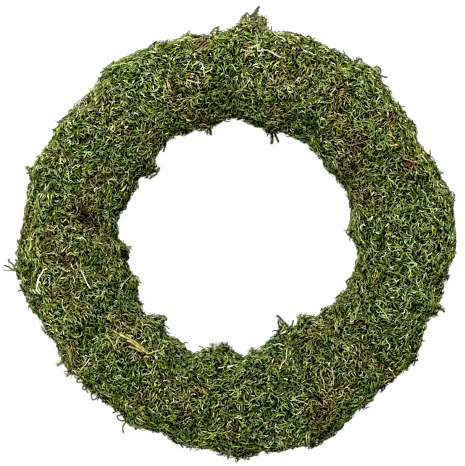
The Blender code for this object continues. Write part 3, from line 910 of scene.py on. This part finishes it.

# %% [markdown]
# ## Tufts, curls and dry stalks
#
# A few things break the even pile: tufts and spikes that stand out of the outline, thin curls at the lower
# left, loops at the upper right, a spray at the left, pale dry stalks, an ochre stem, and long strands that
# lie combed together. A random rule wouldn't put them where they are, so each is placed one by one from the
# photograph. A tuft is a bundle of branchlets along a line from its root to its tip. A curl, a stalk or a
# strand is a chain of short stems along a line of pixels.

# %% Where the tufts are
# Each row is the root's pixel, the tip's pixel, half the tuft's width in pixels, how much it narrows to its
# tip, its number of branchlets and its hue.
TUFTS = [
    (253, 37, 253, 16, 10.5, 0.05, 260, 0.5), (246, 27, 247, 13, 2.8, 0.3, 40, 0.42),
    (251, 21, 258, 9, 1.6, 0.2, 24, 0.36), (261, 33, 263, 14, 4.0, 0.0, 110, 0.66),
    (245, 32, 243, 15, 3.2, 0.0, 80, 0.5), (236, 36, 235, 25, 4.0, 0.3, 40, 0.4),
    (215, 34, 218, 27, 1.2, 0.5, 8, 0.6), (213, 352, 213.5, 342, 3.6, 0.1, 44, 0.42),
    (224, 353, 223, 341, 5.2, 0.1, 70, 0.4), (26, 266, 16, 264, 5.0, 0.4, 60, 0.25),
    (24, 268, 19, 250, 3.0, 0.5, 24, 0.35), (27, 278, 22, 276, 4.0, 0.3, 24, 0.3),
    (286, 332, 279, 318, 2.0, 0.9, 24, 0.6), (303, 328, 300, 312, 4.6, 0.5, 60, 0.45),
    (308, 328, 307, 316, 4, 0.4, 36, 0.4), (270, 130, 271, 140, 2.6, 0.5, 14, 0.4),
    (145, 176, 155, 173, 4, 0.6, 26, 0.4), (153, 174, 161, 168, 1.1, 0.5, 7, 0.5),
    (374, 82, 378, 66, 4.5, 0.4, 34, 0.5), (375, 78, 383, 77, 1.2, 0.6, 6, 0.4),
    (353, 66, 361, 57, 3.2, 0.3, 22, 0.5), (362, 72, 369, 66, 3, 0.5, 18, 0.5),
    (32, 174, 25, 166, 3, 0.5, 18, 0.35), (44, 163, 45, 148, 5, 0.5, 30, 0.5),
    (436, 306, 445, 311, 1.3, 0.6, 10, 0.5), (433, 318, 438, 316, 3, 0.5, 20, 0.5),
    (237, 452, 237, 463, 3, 0.5, 20, 0.5), (228, 452, 227, 460, 4, 0.5, 18, 0.5),
    (72, 372, 65, 377, 2.6, 0.4, 20, 0.6), (208, 124, 206, 135, 2, 0.6, 14, 0.6),
    (128, 247, 133, 246, 2, 0.6, 12, 0.4), (158, 320, 166, 317, 3, 0.4, 20, 0.4),
    (62, 118, 56, 122, 2, 0.6, 12, 0.5), (320, 313, 329, 309, 4, 0.4, 20, 0.4),
    (440, 176, 444, 172, 2, 0.5, 10, 0.5), (60, 362, 56, 366, 2.4, 0.4, 12, 0.35),
    (24, 265, 14, 263, 3.2, 0.4, 26, 0.42), (420, 340, 425, 342, 1.6, 0.5, 8, 0.4),
    (248, 352, 252, 346, 3.5, 0.3, 26, 0.45),
]
print("tufts:", len(TUFTS), "with", sum(row[6] for row in TUFTS), "branchlets")

# %% Where the curls, stalks and strands are
# Each row is a chain that stands free: its thickness in mm, tone, hue, dust and painted highlight, and its
# pixels as x, y, x, y.
FREE_CHAINS = [
    # Curls at the lower left.
    (1.16, 0.12, 0.5, 0.2, 88, 378, 82, 379, 78, 379.5, 76.5, 381, 78, 382.5, 82, 382, 88, 381),
    (1.16, 0.1, 0.5, 0.2, 92, 383, 87, 387, 84.5, 390, 82.5, 389, 83, 386, 90, 384),
    (1.16, 0.14, 0.5, 0.2, 99, 393, 92, 392.5, 91, 396, 92.5, 400, 95, 399.5, 100, 395),
    (1.32, 0.14, 0.5, 0.2, 130, 419, 125, 423, 123, 426, 122.5, 429, 123.5, 433),
    (1.24, 0.09, 0.5, 0.2, 121, 408, 114, 412.5, 112.5, 413),
    (1.24, 0.08, 0.5, 0.2, 124, 414, 117, 416, 118, 419, 121, 421, 126, 420),
    # The spray at the left.
    (1.5, 0.1, 0.45, 0.2, 17, 269.5, 14, 267.5, 13.2, 264.6, 10.7, 263, 8.6, 261.5, 8.4, 259.5, 10, 259.5),
    (1.5, 0.1, 0.4, 0.2, 18, 271, 14.8, 270, 11.5, 269.2, 9, 267, 4.4, 265.4),
    (1.0, 0.2, 0.45, 0.4, 20, 271.5, 14, 270.8, 9, 270.5, 3.6, 270),
    (1.5, 0.12, 0.42, 0.2, 20, 267, 18.2, 264.2, 17, 261.7, 15.3, 259.2),
    (1.4, 0.14, 0.4, 0.2, 20, 263, 17.5, 263, 15, 265.5, 14, 267.5),
    (1.9, 0.12, 0.4, 0.2, 22, 270, 18, 268.5, 14, 269),
    # The top tuft's stems and loops.
    (2.2, 0.12, 0.45, 0.1, 251, 17, 255, 12, 258, 8, 259.5, 6.2),
    (1.6, 0.25, 0.5, 0.1, 253, 18, 256, 13.5, 258.5, 10),
    (1.6, 0.15, 0.72, 0.1, 256, 18.5, 261, 18, 265.5, 18.5, 266, 24, 266.5, 30),
    (1.4, 0.15, 0.5, 0.2, 242, 28, 241.5, 23, 244, 17, 246.5, 12.5, 249, 15, 250, 19),
    (1.4, 0.35, 0.55, 0.3, 241, 22, 247, 21.5, 254, 21),
    # Spikes into the hole, at its top and left.
    (2.4, 0.06, 0.45, 0.1, 269, 126, 271.5, 133, 272.5, 139, 271.4, 144),
    (2.0, 0.06, 0.45, 0.1, 272, 126, 275, 134, 278.5, 142),
    (2.4, 0.06, 0.5, 0.1, 204, 118, 207.5, 125, 210.3, 130, 210.8, 135),
    (1.6, 0.06, 0.5, 0.1, 149, 179, 156, 174.5, 159.5, 168),
    (1.6, 0.06, 0.5, 0.1, 166, 143, 163.5, 151.5),
    # Loops at the upper right and curls at the left edge.
    (1.5, 0.14, 0.42, 0.2, 372, 72, 374.5, 68, 377.5, 66, 381, 69.5, 380.5, 73, 378, 75),
    (1.5, 0.05, 0.5, 0.1, 377, 74.5, 382, 76, 387.3, 77.6),
    (1.6, 0.14, 0.45, 0.2, 357, 63, 358, 60, 361, 58.8, 362, 61, 361, 64.5),
    (1.4, 0.16, 0.4, 0.2, 369, 72, 370, 69, 372, 68, 373, 71),
    (1.55, 0.04, 0.5, 0.2, 28, 282, 21, 278.5, 17.5, 279),
    (1.24, 0.06, 0.5, 0.2, 28, 292, 20.5, 290, 18, 291.5),
    # Stems at the hole's lower edge.
    (1.55, 0.06, 0.4, 0.2, 150, 320, 156, 318, 160, 315.5, 165, 316.5, 167, 319.5, 163, 321),
    (1.39, 0.06, 0.5, 0.2, 229, 352, 235, 352.5, 238, 354, 241, 357),
    (1.86, 0.06, 0.6, 0.2, 292, 328, 285, 323.5, 280.5, 318.5, 277.5, 315.5, 276.5, 317),
    (1.7, 0.06, 0.8, 0.2, 284, 331, 279.5, 328, 278, 321.5),
    (1.55, 0.08, 0.7, 0.2, 291, 328, 293.5, 320.5),
    # Stems at the right edge and the top edge.
    (1.7, 0.1, 0.5, 0.2, 433, 302, 438, 308.5, 442, 310, 445, 312),
    (1.39, 0.1, 0.6, 0.2, 210, 34, 214, 29, 219, 26.5),
    (1.08, 0.1, 0.45, 0.2, 271, 33, 271.5, 26.5),
    (1.55, 0.05, 0.8, 0.2, 279, 35, 285, 32, 292, 32.5, 297, 36),
]
# A chain that lies on the moss has its lift in mm too, before its pixels.
LAID_CHAINS = [
    # Pale dry stalks: the white one at the left, the white bar under the hole, and some more.
    (1.8, 0.62, 0.6, 1, 3.6, 48.5, 266.5, 45, 273.5, 42, 280, 40.5, 287.5, 41.5, 292.5),
    (1.1, 0.5, 0.62, 0.9, 3.2, 81.5, 271, 85, 279, 91, 289),
    (0.9, 0.5, 0.62, 0.9, 3.2, 71, 262, 73.5, 270),
    (0.9, 0.45, 0.6, 0.8, 3.1, 63, 298, 65, 305, 69, 312),
    (0.8, 0.52, 0.6, 1, 2.9, 36, 288.5, 38.5, 293),
    (0.8, 0.45, 0.62, 0.9, 3.1, 76.5, 260.5, 79.5, 267.5),
    (1.3, 0.4, 0.6, 0.9, 3.2, 218, 369, 222.5, 369.2),
    (1.8, 0.72, 0.6, 1, 3.4, 224, 368.6, 230.5, 368.6),
    (0.8, 0.46, 0.45, 0.3, 4.5, 224, 355, 223, 361, 222.3, 368),
    (1.4, 0.59, 0.6, 1, 2.9, 283.5, 336, 288.5, 333.3),
    (0.8, 0.58, 0.6, 1, 3.1, 289.5, 351, 284.5, 362, 280, 371),
    (0.9, 0.59, 0.62, 0.9, 3.1, 128.5, 400.5, 129, 408),
    # The ochre stem at the lower left, in three strands, with its forks and what lies beside it.
    (2.4, 0.42, 0.70, 0.15, 3.2, 126, 340.5, 133, 342.5, 139, 346.5, 145, 351),
    (2.8, 0.46, 0.70, 0.2, 3.6, 127, 343, 134, 345.5, 140, 349.5, 145, 353),
    (2.6, 0.40, 0.72, 0.15, 3.3, 128, 346, 134, 348.5, 142, 353.5),
    (1.6, 0.50, 0.66, 0.35, 3.4, 121, 337, 126, 340.5, 131, 342),
    (1.4, 0.55, 0.7, 0.3, 3.6, 143, 352.5, 147, 356.5, 153, 354.5, 159, 352.5, 163, 348),
    (2.6, 0.23, 1, 0.1, 2.8, 125.5, 318.5, 130, 320),
    (1.6, 0.14, 0.9, 0.4, 2.8, 149, 339, 150, 350),
    (1, 0.46, 0.62, 0.5, 2.9, 104, 334, 110, 342, 114, 350),
    (1.1, 0.49, 0.64, 0.5, 3.0, 112, 329, 118, 336, 127, 341),
    (0.9, 0.52, 0.62, 0.7, 2.9, 119, 322, 124, 327, 128, 329),
    # Thin pale strands all round the ring.
    (0.8, 0.42, 0.7, 0.9, 3.1, 241, 52, 248, 54, 255, 53.5),
    (0.85, 0.52, 0.62, 1, 3.2, 257, 53.5, 263, 52, 271, 54, 280, 59),
    (0.8, 0.52, 0.6, 0.9, 3.0, 273, 35, 278, 40, 284, 43),
    (0.85, 0.52, 0.58, 0.5, 3.0, 253, 35, 256, 42, 258, 52, 262, 44),
    (0.8, 0.42, 0.6, 0.8, 3.1, 130, 275, 124, 282, 119, 289),
    (0.8, 0.42, 0.6, 0.8, 3.1, 376, 306, 383, 313, 389, 320),
    (0.8, 0.52, 0.6, 0.9, 3.1, 304, 433, 308, 441, 312, 448),
    (0.7, 0.46, 0.6, 0.9, 3.1, 308, 433, 309, 441, 310, 449),
    (0.7, 0.46, 0.6, 0.9, 3.1, 301, 438, 306, 448),
    (0.9, 0.52, 0.6, 0.9, 3.1, 91, 358, 85, 364, 81, 371),
    (0.9, 0.58, 0.6, 0.9, 3.1, 389, 365, 393, 372, 397, 379),
    (0.8, 0.42, 0.6, 0.8, 3.1, 318, 370, 322, 378, 324, 387),
    (0.7, 0.42, 0.6, 0.8, 3.1, 331, 368, 333, 376, 333, 384),
    (0.8, 0.58, 0.62, 1, 3.1, 187, 80, 194, 82, 200, 83),
    (0.8, 0.46, 0.6, 0.8, 3.1, 252, 78, 248, 84, 243, 89),
    (0.8, 0.42, 0.6, 0.7, 3.1, 60, 335, 65, 330, 70, 325),
    (0.7, 0.36, 0.6, 0.7, 3.1, 110, 93, 116, 89, 123, 86),
    (0.8, 0.42, 0.6, 0.7, 3.1, 420, 190, 425, 196, 429, 203),
    (0.8, 0.46, 0.6, 0.7, 3.1, 405, 268, 411, 266, 417, 262),
    (0.7, 0.42, 0.6, 0.8, 3.1, 250, 400, 257, 398, 263, 395),
    (0.8, 0.46, 0.6, 0.8, 3.1, 293, 398, 299, 401, 305, 402),
    # Dark strands at the upper left.
    (0.8, 0.19, 0.65, 0.5, 3.0, 100, 78, 108, 84, 116, 91, 124, 99),
    (1.2, 0.09, 0.8, 0.5, 2.8, 126, 96, 130, 102, 128, 108),
    # Combed yellow-green strands at the right.
    (0.8, 0.7, 0.42, 0.25, 3.2, 408, 258.5, 412, 259, 416, 261.5, 417.5, 269),
    (0.8, 0.5, 0.42, 0.08, 3.0, 405, 263, 411, 269, 416, 274),
    (0.9, 0.5, 0.36, 0.08, 3.0, 392, 270, 400, 272.5, 409, 277.5, 415, 282.5),
    (0.9, 0.55, 0.36, 0.08, 3.0, 390, 280.5, 397.5, 278),
    (0.8, 0.6, 0.44, 0.25, 3.2, 412, 290, 419, 291.5, 422, 297, 425, 299.5),
    (0.8, 0.65, 0.44, 0.25, 3.2, 390, 289.5, 396, 292, 399, 295.5, 397, 298.5),
    (0.8, 0.5, 0.5, 0.15, 3.0, 420, 267.5, 424, 272.5, 426, 279),
    (0.8, 0.45, 0.48, 0.15, 3.0, 426, 291, 428, 299, 427, 305),
    (0.9, 0.6, 0.3, 0.05, 3.1, 402.5, 291, 406, 289, 410, 285.5),
    (0.8, 0.5, 0.36, 0.08, 3.0, 382.5, 284, 384, 292.5),
    (0.8, 0.5, 0.36, 0.08, 3.0, 385.5, 286, 389, 292.5),
    # Combed strands at the upper right.
    (0.9, 0.55, 0.3, 0.08, 3.1, 353, 123, 362, 121, 371, 124, 373, 132.5),
    (0.8, 0.45, 0.34, 0.08, 3.0, 353, 128, 362, 125, 369, 128),
    (0.8, 0.5, 0.28, 0.08, 3.0, 366, 127, 372, 131, 374, 140),
    (0.7, 0.3, 0.6, 0.8, 3.2, 365.5, 110.5, 375, 110.5, 387, 113),
    # Combed strands at the top.
    (0.8, 0.6, 0.45, 0.6, 3.0, 201.5, 64, 203, 70, 203.5, 75),
    (0.8, 0.6, 0.5, 0.7, 3.0, 203, 77, 207, 73, 212, 69),
    (0.9, 0.6, 0.36, 0.08, 3.0, 214, 50, 220, 47.5, 226, 46.5),
    (0.8, 0.55, 0.5, 0.5, 3.0, 183.5, 72, 190, 63),
    (0.9, 0.4, 0.68, 0.15, 3.0, 197, 50, 204, 44, 209, 38.5),
    (0.9, 0.35, 0.68, 0.15, 3.0, 195, 48.5, 201, 42.5, 205, 38.5),
    (0.9, 0.4, 0.66, 0.15, 3.0, 200, 51, 206, 46, 211, 42.5),
]
CHAINS = [(*row[:4], FREE, *row[4:]) for row in FREE_CHAINS] + LAID_CHAINS
print("chains:", len(FREE_CHAINS), "free and", len(LAID_CHAINS), "on the moss")

# %% From pixels to places
UP = Vector((0, 0, 1))


def at_pixel(x, y, height=TUBE_HEIGHT):
    """The place at this pixel and this height."""
    return Vector((*from_photo(x, y), height))


def mat_near(place):
    """The number of the mat that is nearest to this place."""
    return SKIN_MATS[SKIN.find_nearest(place)[2]]


def on_skin(x, y):
    """The place on top of the skin that is seen at this pixel."""
    seen_from = camera.location
    location = SKIN.ray_cast(seen_from, (at_pixel(x, y) - seen_from).normalized())[0]
    return location or SKIN.find_nearest(at_pixel(x, y))[0]


def below_skin(place, depth):
    """This place, or the nearest one that lies at least so deep below the skin."""
    location, normal, _, _ = SKIN.find_nearest(place)
    return place if (place - location).dot(normal) < -depth else location - normal * depth


def stretched_row(shape, length, start, end, thickness, tone, hue, dust, lift):
    """One of the straight shapes, of this length in mm, from one place to another. Thickness is in mm."""
    reach = end - start
    normal = (UP - reach * UP.dot(reach) / reach.length_squared).normalized()
    sideways = normal.cross(reach.normalized())
    thicker = thickness / (2 * BRANCHLET_RADIUS / MM)
    return filled_rows(
        1, start=start, axes=(reach / (length * MM), sideways * thicker, normal * thicker), scale=1.0,
        shape=shape, tone=tone, hue=hue, dust=dust, lift=lift, mat=mat_near(start),
    )


print("the widest tuft grows on mat", mat_near(at_pixel(*TUFTS[0][:2])) + 1)

# %% Rows for the tufts
TUFT_THICKER = 1.25
# The root of a tuft starts this far inside the skin, and a branchlet's root this far inside its tuft.
TUFT_ROOT = BRANCHLET_ROOT = 1.5 * MM
BRANCHLETS_TO_TWIG = 12
# All twigs but the first stray by up to these shares of the tuft's half-width, and end short of its tip.
TWIG_ASIDE, TWIG_UP, TWIG_ENDS = 0.8, 0.6, (0.75, 0.95)
TWIG_THICKNESSES, TWIG_TONES, TWIG_DUST = (1.2, 1.8), (0.1, 0.3), 0.2
# No branchlet has its root further along the tuft than this share.
LAST_ROOT = 0.88
# How far they spread from the tuft's axis: more where its half-width is more than this many pixels.
WIDE_TUFT, WIDE_SPREAD, NARROW_SPREAD = 4, 1.1, 0.6
# How far their upper side leans away from the axis, and how far they are rolled, in radians.
LEAN_OUT, ROLL = 0.6, 0.4
# Branchlets have these sizes, but near the tip they shorten, in step with what is left of this length.
TUFT_SCALES, SMALLEST, SHORTENS_FROM = (0.85, 1.3), 0.6, 3.5 * MM
TUFT_TONES, TUFT_HUE_SPREAD = (0.05, 0.65), 0.08


def tuft_rows(draw):
    """The twigs and branchlets of all the tufts."""
    rows = []
    for root_x, root_y, tip_x, tip_y, half_width, narrows, count, tuft_hue in TUFTS:
        root, tip = below_skin(at_pixel(root_x, root_y), TUFT_ROOT), at_pixel(tip_x, tip_y)
        axis = (tip - root).normalized()
        across = UP.cross(axis).normalized()
        mat = mat_near(root)
        reach = (tip - root).length
        width = half_width * MM_PER_PIXEL * MM
        for number in range(1 + count // BRANCHLETS_TO_TWIG):
            aside, up, share = Vector((0, 0, 0)), Vector((0, 0, 0)), 1.0
            if number:
                aside = across * draw.uniform(-TWIG_ASIDE, TWIG_ASIDE) * width
                up = UP * draw.uniform(-TWIG_UP, TWIG_UP) * width
                share = draw.uniform(*TWIG_ENDS)
            end = root + aside * (1 - narrows) + up + axis * reach * share
            looks = draw.uniform(*TWIG_THICKNESSES), draw.uniform(*TWIG_TONES), tuft_hue, TWIG_DUST, FREE
            rows.append(stretched_row(TWIG_SHAPE, straight_reach(TWIG), root + aside + up, end, *looks))
        for _ in range(count):
            share = draw.uniform(0, LAST_ROOT)
            angle = draw.uniform(0, 2 * math.pi)
            out = across * math.cos(angle) + UP * math.sin(angle)
            start = root + axis * (reach * share)
            start += out * width * (1 - narrows * share) * math.sqrt(draw.random())
            spread = WIDE_SPREAD if half_width > WIDE_TUFT else NARROW_SPREAD
            along = (axis + across * draw.normal(0, spread) + UP * draw.normal(0, spread)).normalized()
            normal = out * LEAN_OUT + UP
            normal = (normal - along * normal.dot(along)).normalized()
            beside = normal.cross(along)
            roll = draw.normal(0, ROLL)
            y_axis = TUFT_THICKER * (beside * math.cos(roll) + normal * math.sin(roll))
            z_axis = TUFT_THICKER * (normal * math.cos(roll) - beside * math.sin(roll))
            left = reach * (1 - share)
            scale = min(draw.uniform(*TUFT_SCALES), max(SMALLEST, left / SHORTENS_FROM))
            looks = {"tone": draw.uniform(*TUFT_TONES), "hue": draw.normal(tuft_hue, TUFT_HUE_SPREAD)}
            start -= along * BRANCHLET_ROOT * scale
            row = filled_rows(
                1, start=start, axes=(along, y_axis, z_axis), scale=scale, shape=draw.choice(ROOTED),
                dust=draw.beta(*DUST), lift=FREE, mat=mat, **looks,
            )
            rows.append(row)
    return rows


TUFT_ROWS = tuft_rows(np.random.default_rng(TUFT_SEED))
print("twigs and branchlets of tufts:", len(TUFT_ROWS))

# %% Rows for the chains
# Each stem is this much longer than the way between its pixels, so that it sinks into the next.
STEM_OVERLAP = 1.12


def chain_rows():
    """The stems of all the chains. Those with a lift lie on the moss, and the others stand free."""
    rows = []
    for thickness, tone, hue, dust, lift, *pixels in CHAINS:
        laid = lift != FREE
        places = [on_skin(x, y) if laid else at_pixel(x, y) for x, y in zip(pixels[::2], pixels[1::2])]
        looks = thickness, tone, hue, dust, lift * MM if laid else FREE
        for start, end in zip(places, places[1:]):
            end = start + (end - start) * STEM_OVERLAP
            rows.append(stretched_row(STEM_SHAPE, straight_reach(STEM), start, end, *looks))
    return rows


CHAIN_ROWS = chain_rows()
print("stems in chains:", len(CHAIN_ROWS))

# %% [markdown]
# ## From places to one mesh
#
# Every branchlet is a copy of one of the modelled shapes, and all the copies of a mat are joined with its
# ground in one mesh, which makes one piece for each packed mat. The arithmetic runs on whole arrays at
# once, because tens of thousands of separate objects would take Blender minutes. Each section of a copy is
# then moved onto the skin below it, so that a branchlet follows the lumps that it lies on and none sticks
# out as a hair.

# %% Copy the branchlets
def laid_on_skin(wanted, heights):
    """These places moved onto the skin nearest to them, and these heights above it."""
    laid = np.empty_like(wanted)
    for number, (place, height) in enumerate(zip(wanted, heights)):
        location, normal, _, _ = SKIN.find_nearest(place)
        laid[number] = location + normal * height
    return laid


def copies_of(rows):
    """The points, triangles and attribute values of all these branchlets."""
    points, triangles, colours, counted = [], [], [], 0
    for number, shape in enumerate(SHAPES):
        mine = rows[rows["shape"] == number]
        if not len(mine):
            continue
        starts, scales, axes = mine["start"][:, None, :], mine["scale"][:, None, None], mine["axes"]
        placed = starts + scales * np.einsum("pk,nkj->npj", shape["points"], axes)
        laid = mine["lift"] != FREE
        if laid.any():
            middles = (starts + scales * np.einsum("pk,nkj->npj", shape["centres"], axes))[laid]
            heights = mine["lift"][laid, None] + scales[laid, :, 0] * shape["centres"][None, :, 2]
            flat = laid_on_skin(middles.reshape(-1, 3), heights.ravel()).reshape(middles.shape)
            placed[laid] += (flat - middles)[:, shape["section"], :]
        # Red is dust and painted highlight, green tone with its painted shade, blue hue and alpha height, as
        # the moss material reads them.
        colour = np.ones((len(mine), len(shape["along"]), 4))
        colour[:, :, 0] = mine["dust"][:, None]
        colour[:, :, 1] = np.clip(mine["tone"], *TONE_RANGE)[:, None]
        # Branchlets, not twigs and stems, are painted darker towards the root and the tip, as shade in the
        # felt.
        if number not in (TWIG_SHAPE, STEM_SHAPE):
            colour[:, :, 1] *= np.interp(shape["along"], ALONG, PAINTED_SHADE_ALONG)[None, :]
        colour[:, :, 2] = np.clip(mine["hue"], 0.0, 1.0)[:, None]
        colour[:, :, 3] = shape["up"][None, :]
        steps = counted + np.arange(len(mine)) * len(shape["points"])
        triangles.append((shape["triangles"][None] + steps[:, None, None]).reshape(-1, 3))
        points.append(placed.reshape(-1, 3))
        colours.append(colour.reshape(-1, 4))
        counted += len(mine) * len(shape["points"])
    return np.concatenate(points), np.concatenate(triangles), np.concatenate(colours)


ROWS = np.concatenate(TUFT_ROWS + CHAIN_ROWS + list(LAYER_ROWS.values()))
print("branchlets, twigs and stems:", len(ROWS))

# %% Dress all the mats
def mesh_object(name, points, triangles, colours, felt_from):
    """A smooth-shaded object with its branchlet attribute. From this number on, its triangles are felt."""
    mesh = bpy.data.meshes.new(name)
    mesh.vertices.add(len(points))
    mesh.vertices.foreach_set("co", points.astype(np.float32).ravel())
    mesh.loops.add(triangles.size)
    mesh.loops.foreach_set("vertex_index", triangles.astype(np.int32).ravel())
    mesh.polygons.add(len(triangles))
    mesh.polygons.foreach_set("loop_start", np.arange(0, triangles.size, CORNERS, dtype=np.int32))
    mesh.update(calc_edges=True)
    mesh.shade_smooth()
    attribute = mesh.color_attributes.new("branchlet", "FLOAT_COLOR", "POINT")
    attribute.data.foreach_set("color", colours.astype(np.float32).ravel())
    mesh.materials.append(MOSS)
    mesh.materials.append(FELT_AND_SHADE_MATERIAL)
    mesh.polygons.foreach_set("material_index", (np.arange(len(triangles)) >= felt_from).astype(np.int32))
    made = bpy.data.objects.new(name, mesh)
    bpy.context.scene.collection.objects.link(made)
    return made


def kept_in_box(points):
    """These points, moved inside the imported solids' box where they stick out of it."""
    return np.clip(points, np.array(CAD_BOX[0]), np.array(CAD_BOX[1]))


def dress_mat(number, node_name):
    """The finished mat: its ground and all its branchlets in one piece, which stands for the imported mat."""
    ground_points, ground_triangles = GROUNDS[number - 1]
    points, triangles, colours = copies_of(ROWS[ROWS["mat"] == number - 1])
    mat = mesh_object(
        f"moss_{number:02d}",
        kept_in_box(np.concatenate([points, ground_points])),
        np.concatenate([triangles, ground_triangles + len(points)]),
        np.concatenate([colours, np.zeros((len(ground_points), 4))]),
        len(triangles),
    )
    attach(mat, "root")
    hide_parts(node_name)
    return len(mat.data.polygons)


counts = [dress_mat(number, node_name) for number, node_name in enumerate(MATS, start=1)]
print("triangles in the mats:", sum(counts), "the largest", max(counts))

# %% [markdown]
# ## Straw and wire
#
# The ring of straw and its binding wire are hidden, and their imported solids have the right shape. They
# could be dressed with single stalks too, which nobody would see, so they only get their real finish: matt
# dry straw, from brown to pale gold, and florist's wire with a half-glossy green lacquer that is worn
# through in places.

# %% Straw and wire materials
# Dry straw: matt, in the browns and pale golds of stalks 2.5 mm wide.
STRAW_COLOURS = [(0.3, "#8A6F3E"), (0.5, "#C4A766"), (0.7, "#E2CE96")]
STRAW = mottled_material("straw_bundled", size_mm=2.5, detail=3.0, stops=STRAW_COLOURS, roughness=0.75)
# Lacquered wire: half glossy and dark green, with some grey every 4 mm or so where the lacquer is worn.
WIRE_COLOURS = [(0.35, "#20381F"), (0.60, "#35552F"), (0.72, "#6B6F62")]
WIRE = mottled_material(
    "green_lacquered_wire", size_mm=4.0, detail=2.0, stops=WIRE_COLOURS, roughness=0.38, metallic=0.4
)
for node_name, material in (("straw_ring", STRAW), ("binding_wire", WIRE)):
    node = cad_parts[node_name]
    node.data.materials.clear()
    node.data.materials.append(material)
    print(node_name, "is now", material.name)

# %% [markdown]
# ## Floor and light
#
# The photograph is a cut-out on white. A plain white floor would catch the wreath's shadow and its green,
# so the floor is a light table, whose own glow is as bright as the photograph's white. The light is soft
# and comes from the photograph's top, a little from the left, as the brighter upper edge of the ring shows.
# The photograph is printed with hard blacks, which a black point in the view settings gives.

# %% Floor
FLOOR_SIZE = 6.0
# The panel itself is dark, so that its glow alone makes it white.
PANEL, GLOW = "#303030", 1.0
deselect_all()
bpy.ops.mesh.primitive_plane_add(size=FLOOR_SIZE, location=(0, 0, 0))
floor = bpy.context.object
floor.name = "white_floor"
white, _, white_shader = new_material("white_light_table", roughness=0.9)
white_shader.inputs["Base Color"].default_value = linear(PANEL)
white_shader.inputs["Emission Color"].default_value = (1, 1, 1, 1)
white_shader.inputs["Emission Strength"].default_value = GLOW
floor.data.materials.append(white)
print("floor", floor.name, FLOOR_SIZE, "m wide")

# %% Lights
def area_light(name, azimuth, elevation, distance, size, power):
    """A square soft box that points at the wreath. Azimuth 0 is the photograph's right, and 90 its top."""
    light_data = bpy.data.lights.new(name, "AREA")
    light_data.size = size
    light_data.energy = power
    light = bpy.data.objects.new(name, light_data)
    bpy.context.scene.collection.objects.link(light)
    azimuth, elevation = math.radians(azimuth), math.radians(elevation)
    level = math.cos(elevation)
    way = Vector((math.cos(azimuth) * level, math.sin(azimuth) * level, math.sin(elevation)))
    light.location = way * distance
    light.rotation_mode = "QUATERNION"
    light.rotation_quaternion = (-way).to_track_quat("-Z", "Y")


area_light("key_soft_box", azimuth=112, elevation=67, distance=1.6, size=0.45, power=107)
area_light("fill_soft_box", azimuth=-60, elevation=50, distance=1.8, size=1.2, power=15)

# %% Surroundings and black point
WORLD_STRENGTH = 0.11
# What is darker than this is black.
BLACK_POINT = 0.008
world = bpy.data.worlds.new("studio")
bpy.context.scene.world = world
world.use_nodes = True
world.node_tree.nodes["Background"].inputs["Color"].default_value = (1, 1, 1, 1)
world.node_tree.nodes["Background"].inputs["Strength"].default_value = WORLD_STRENGTH
view = bpy.context.scene.view_settings
view.view_transform = "Standard"
view.use_curve_mapping = True
view.curve_mapping.black_level = (BLACK_POINT,) * 3
view.curve_mapping.update()

# %% [markdown]
# ## Sizes
#
# The dressed wreath has to stay inside the imported one's box, so its points are moved into that box, and the
# box is printed.


print("packed ", in_mm(CAD_BOX))
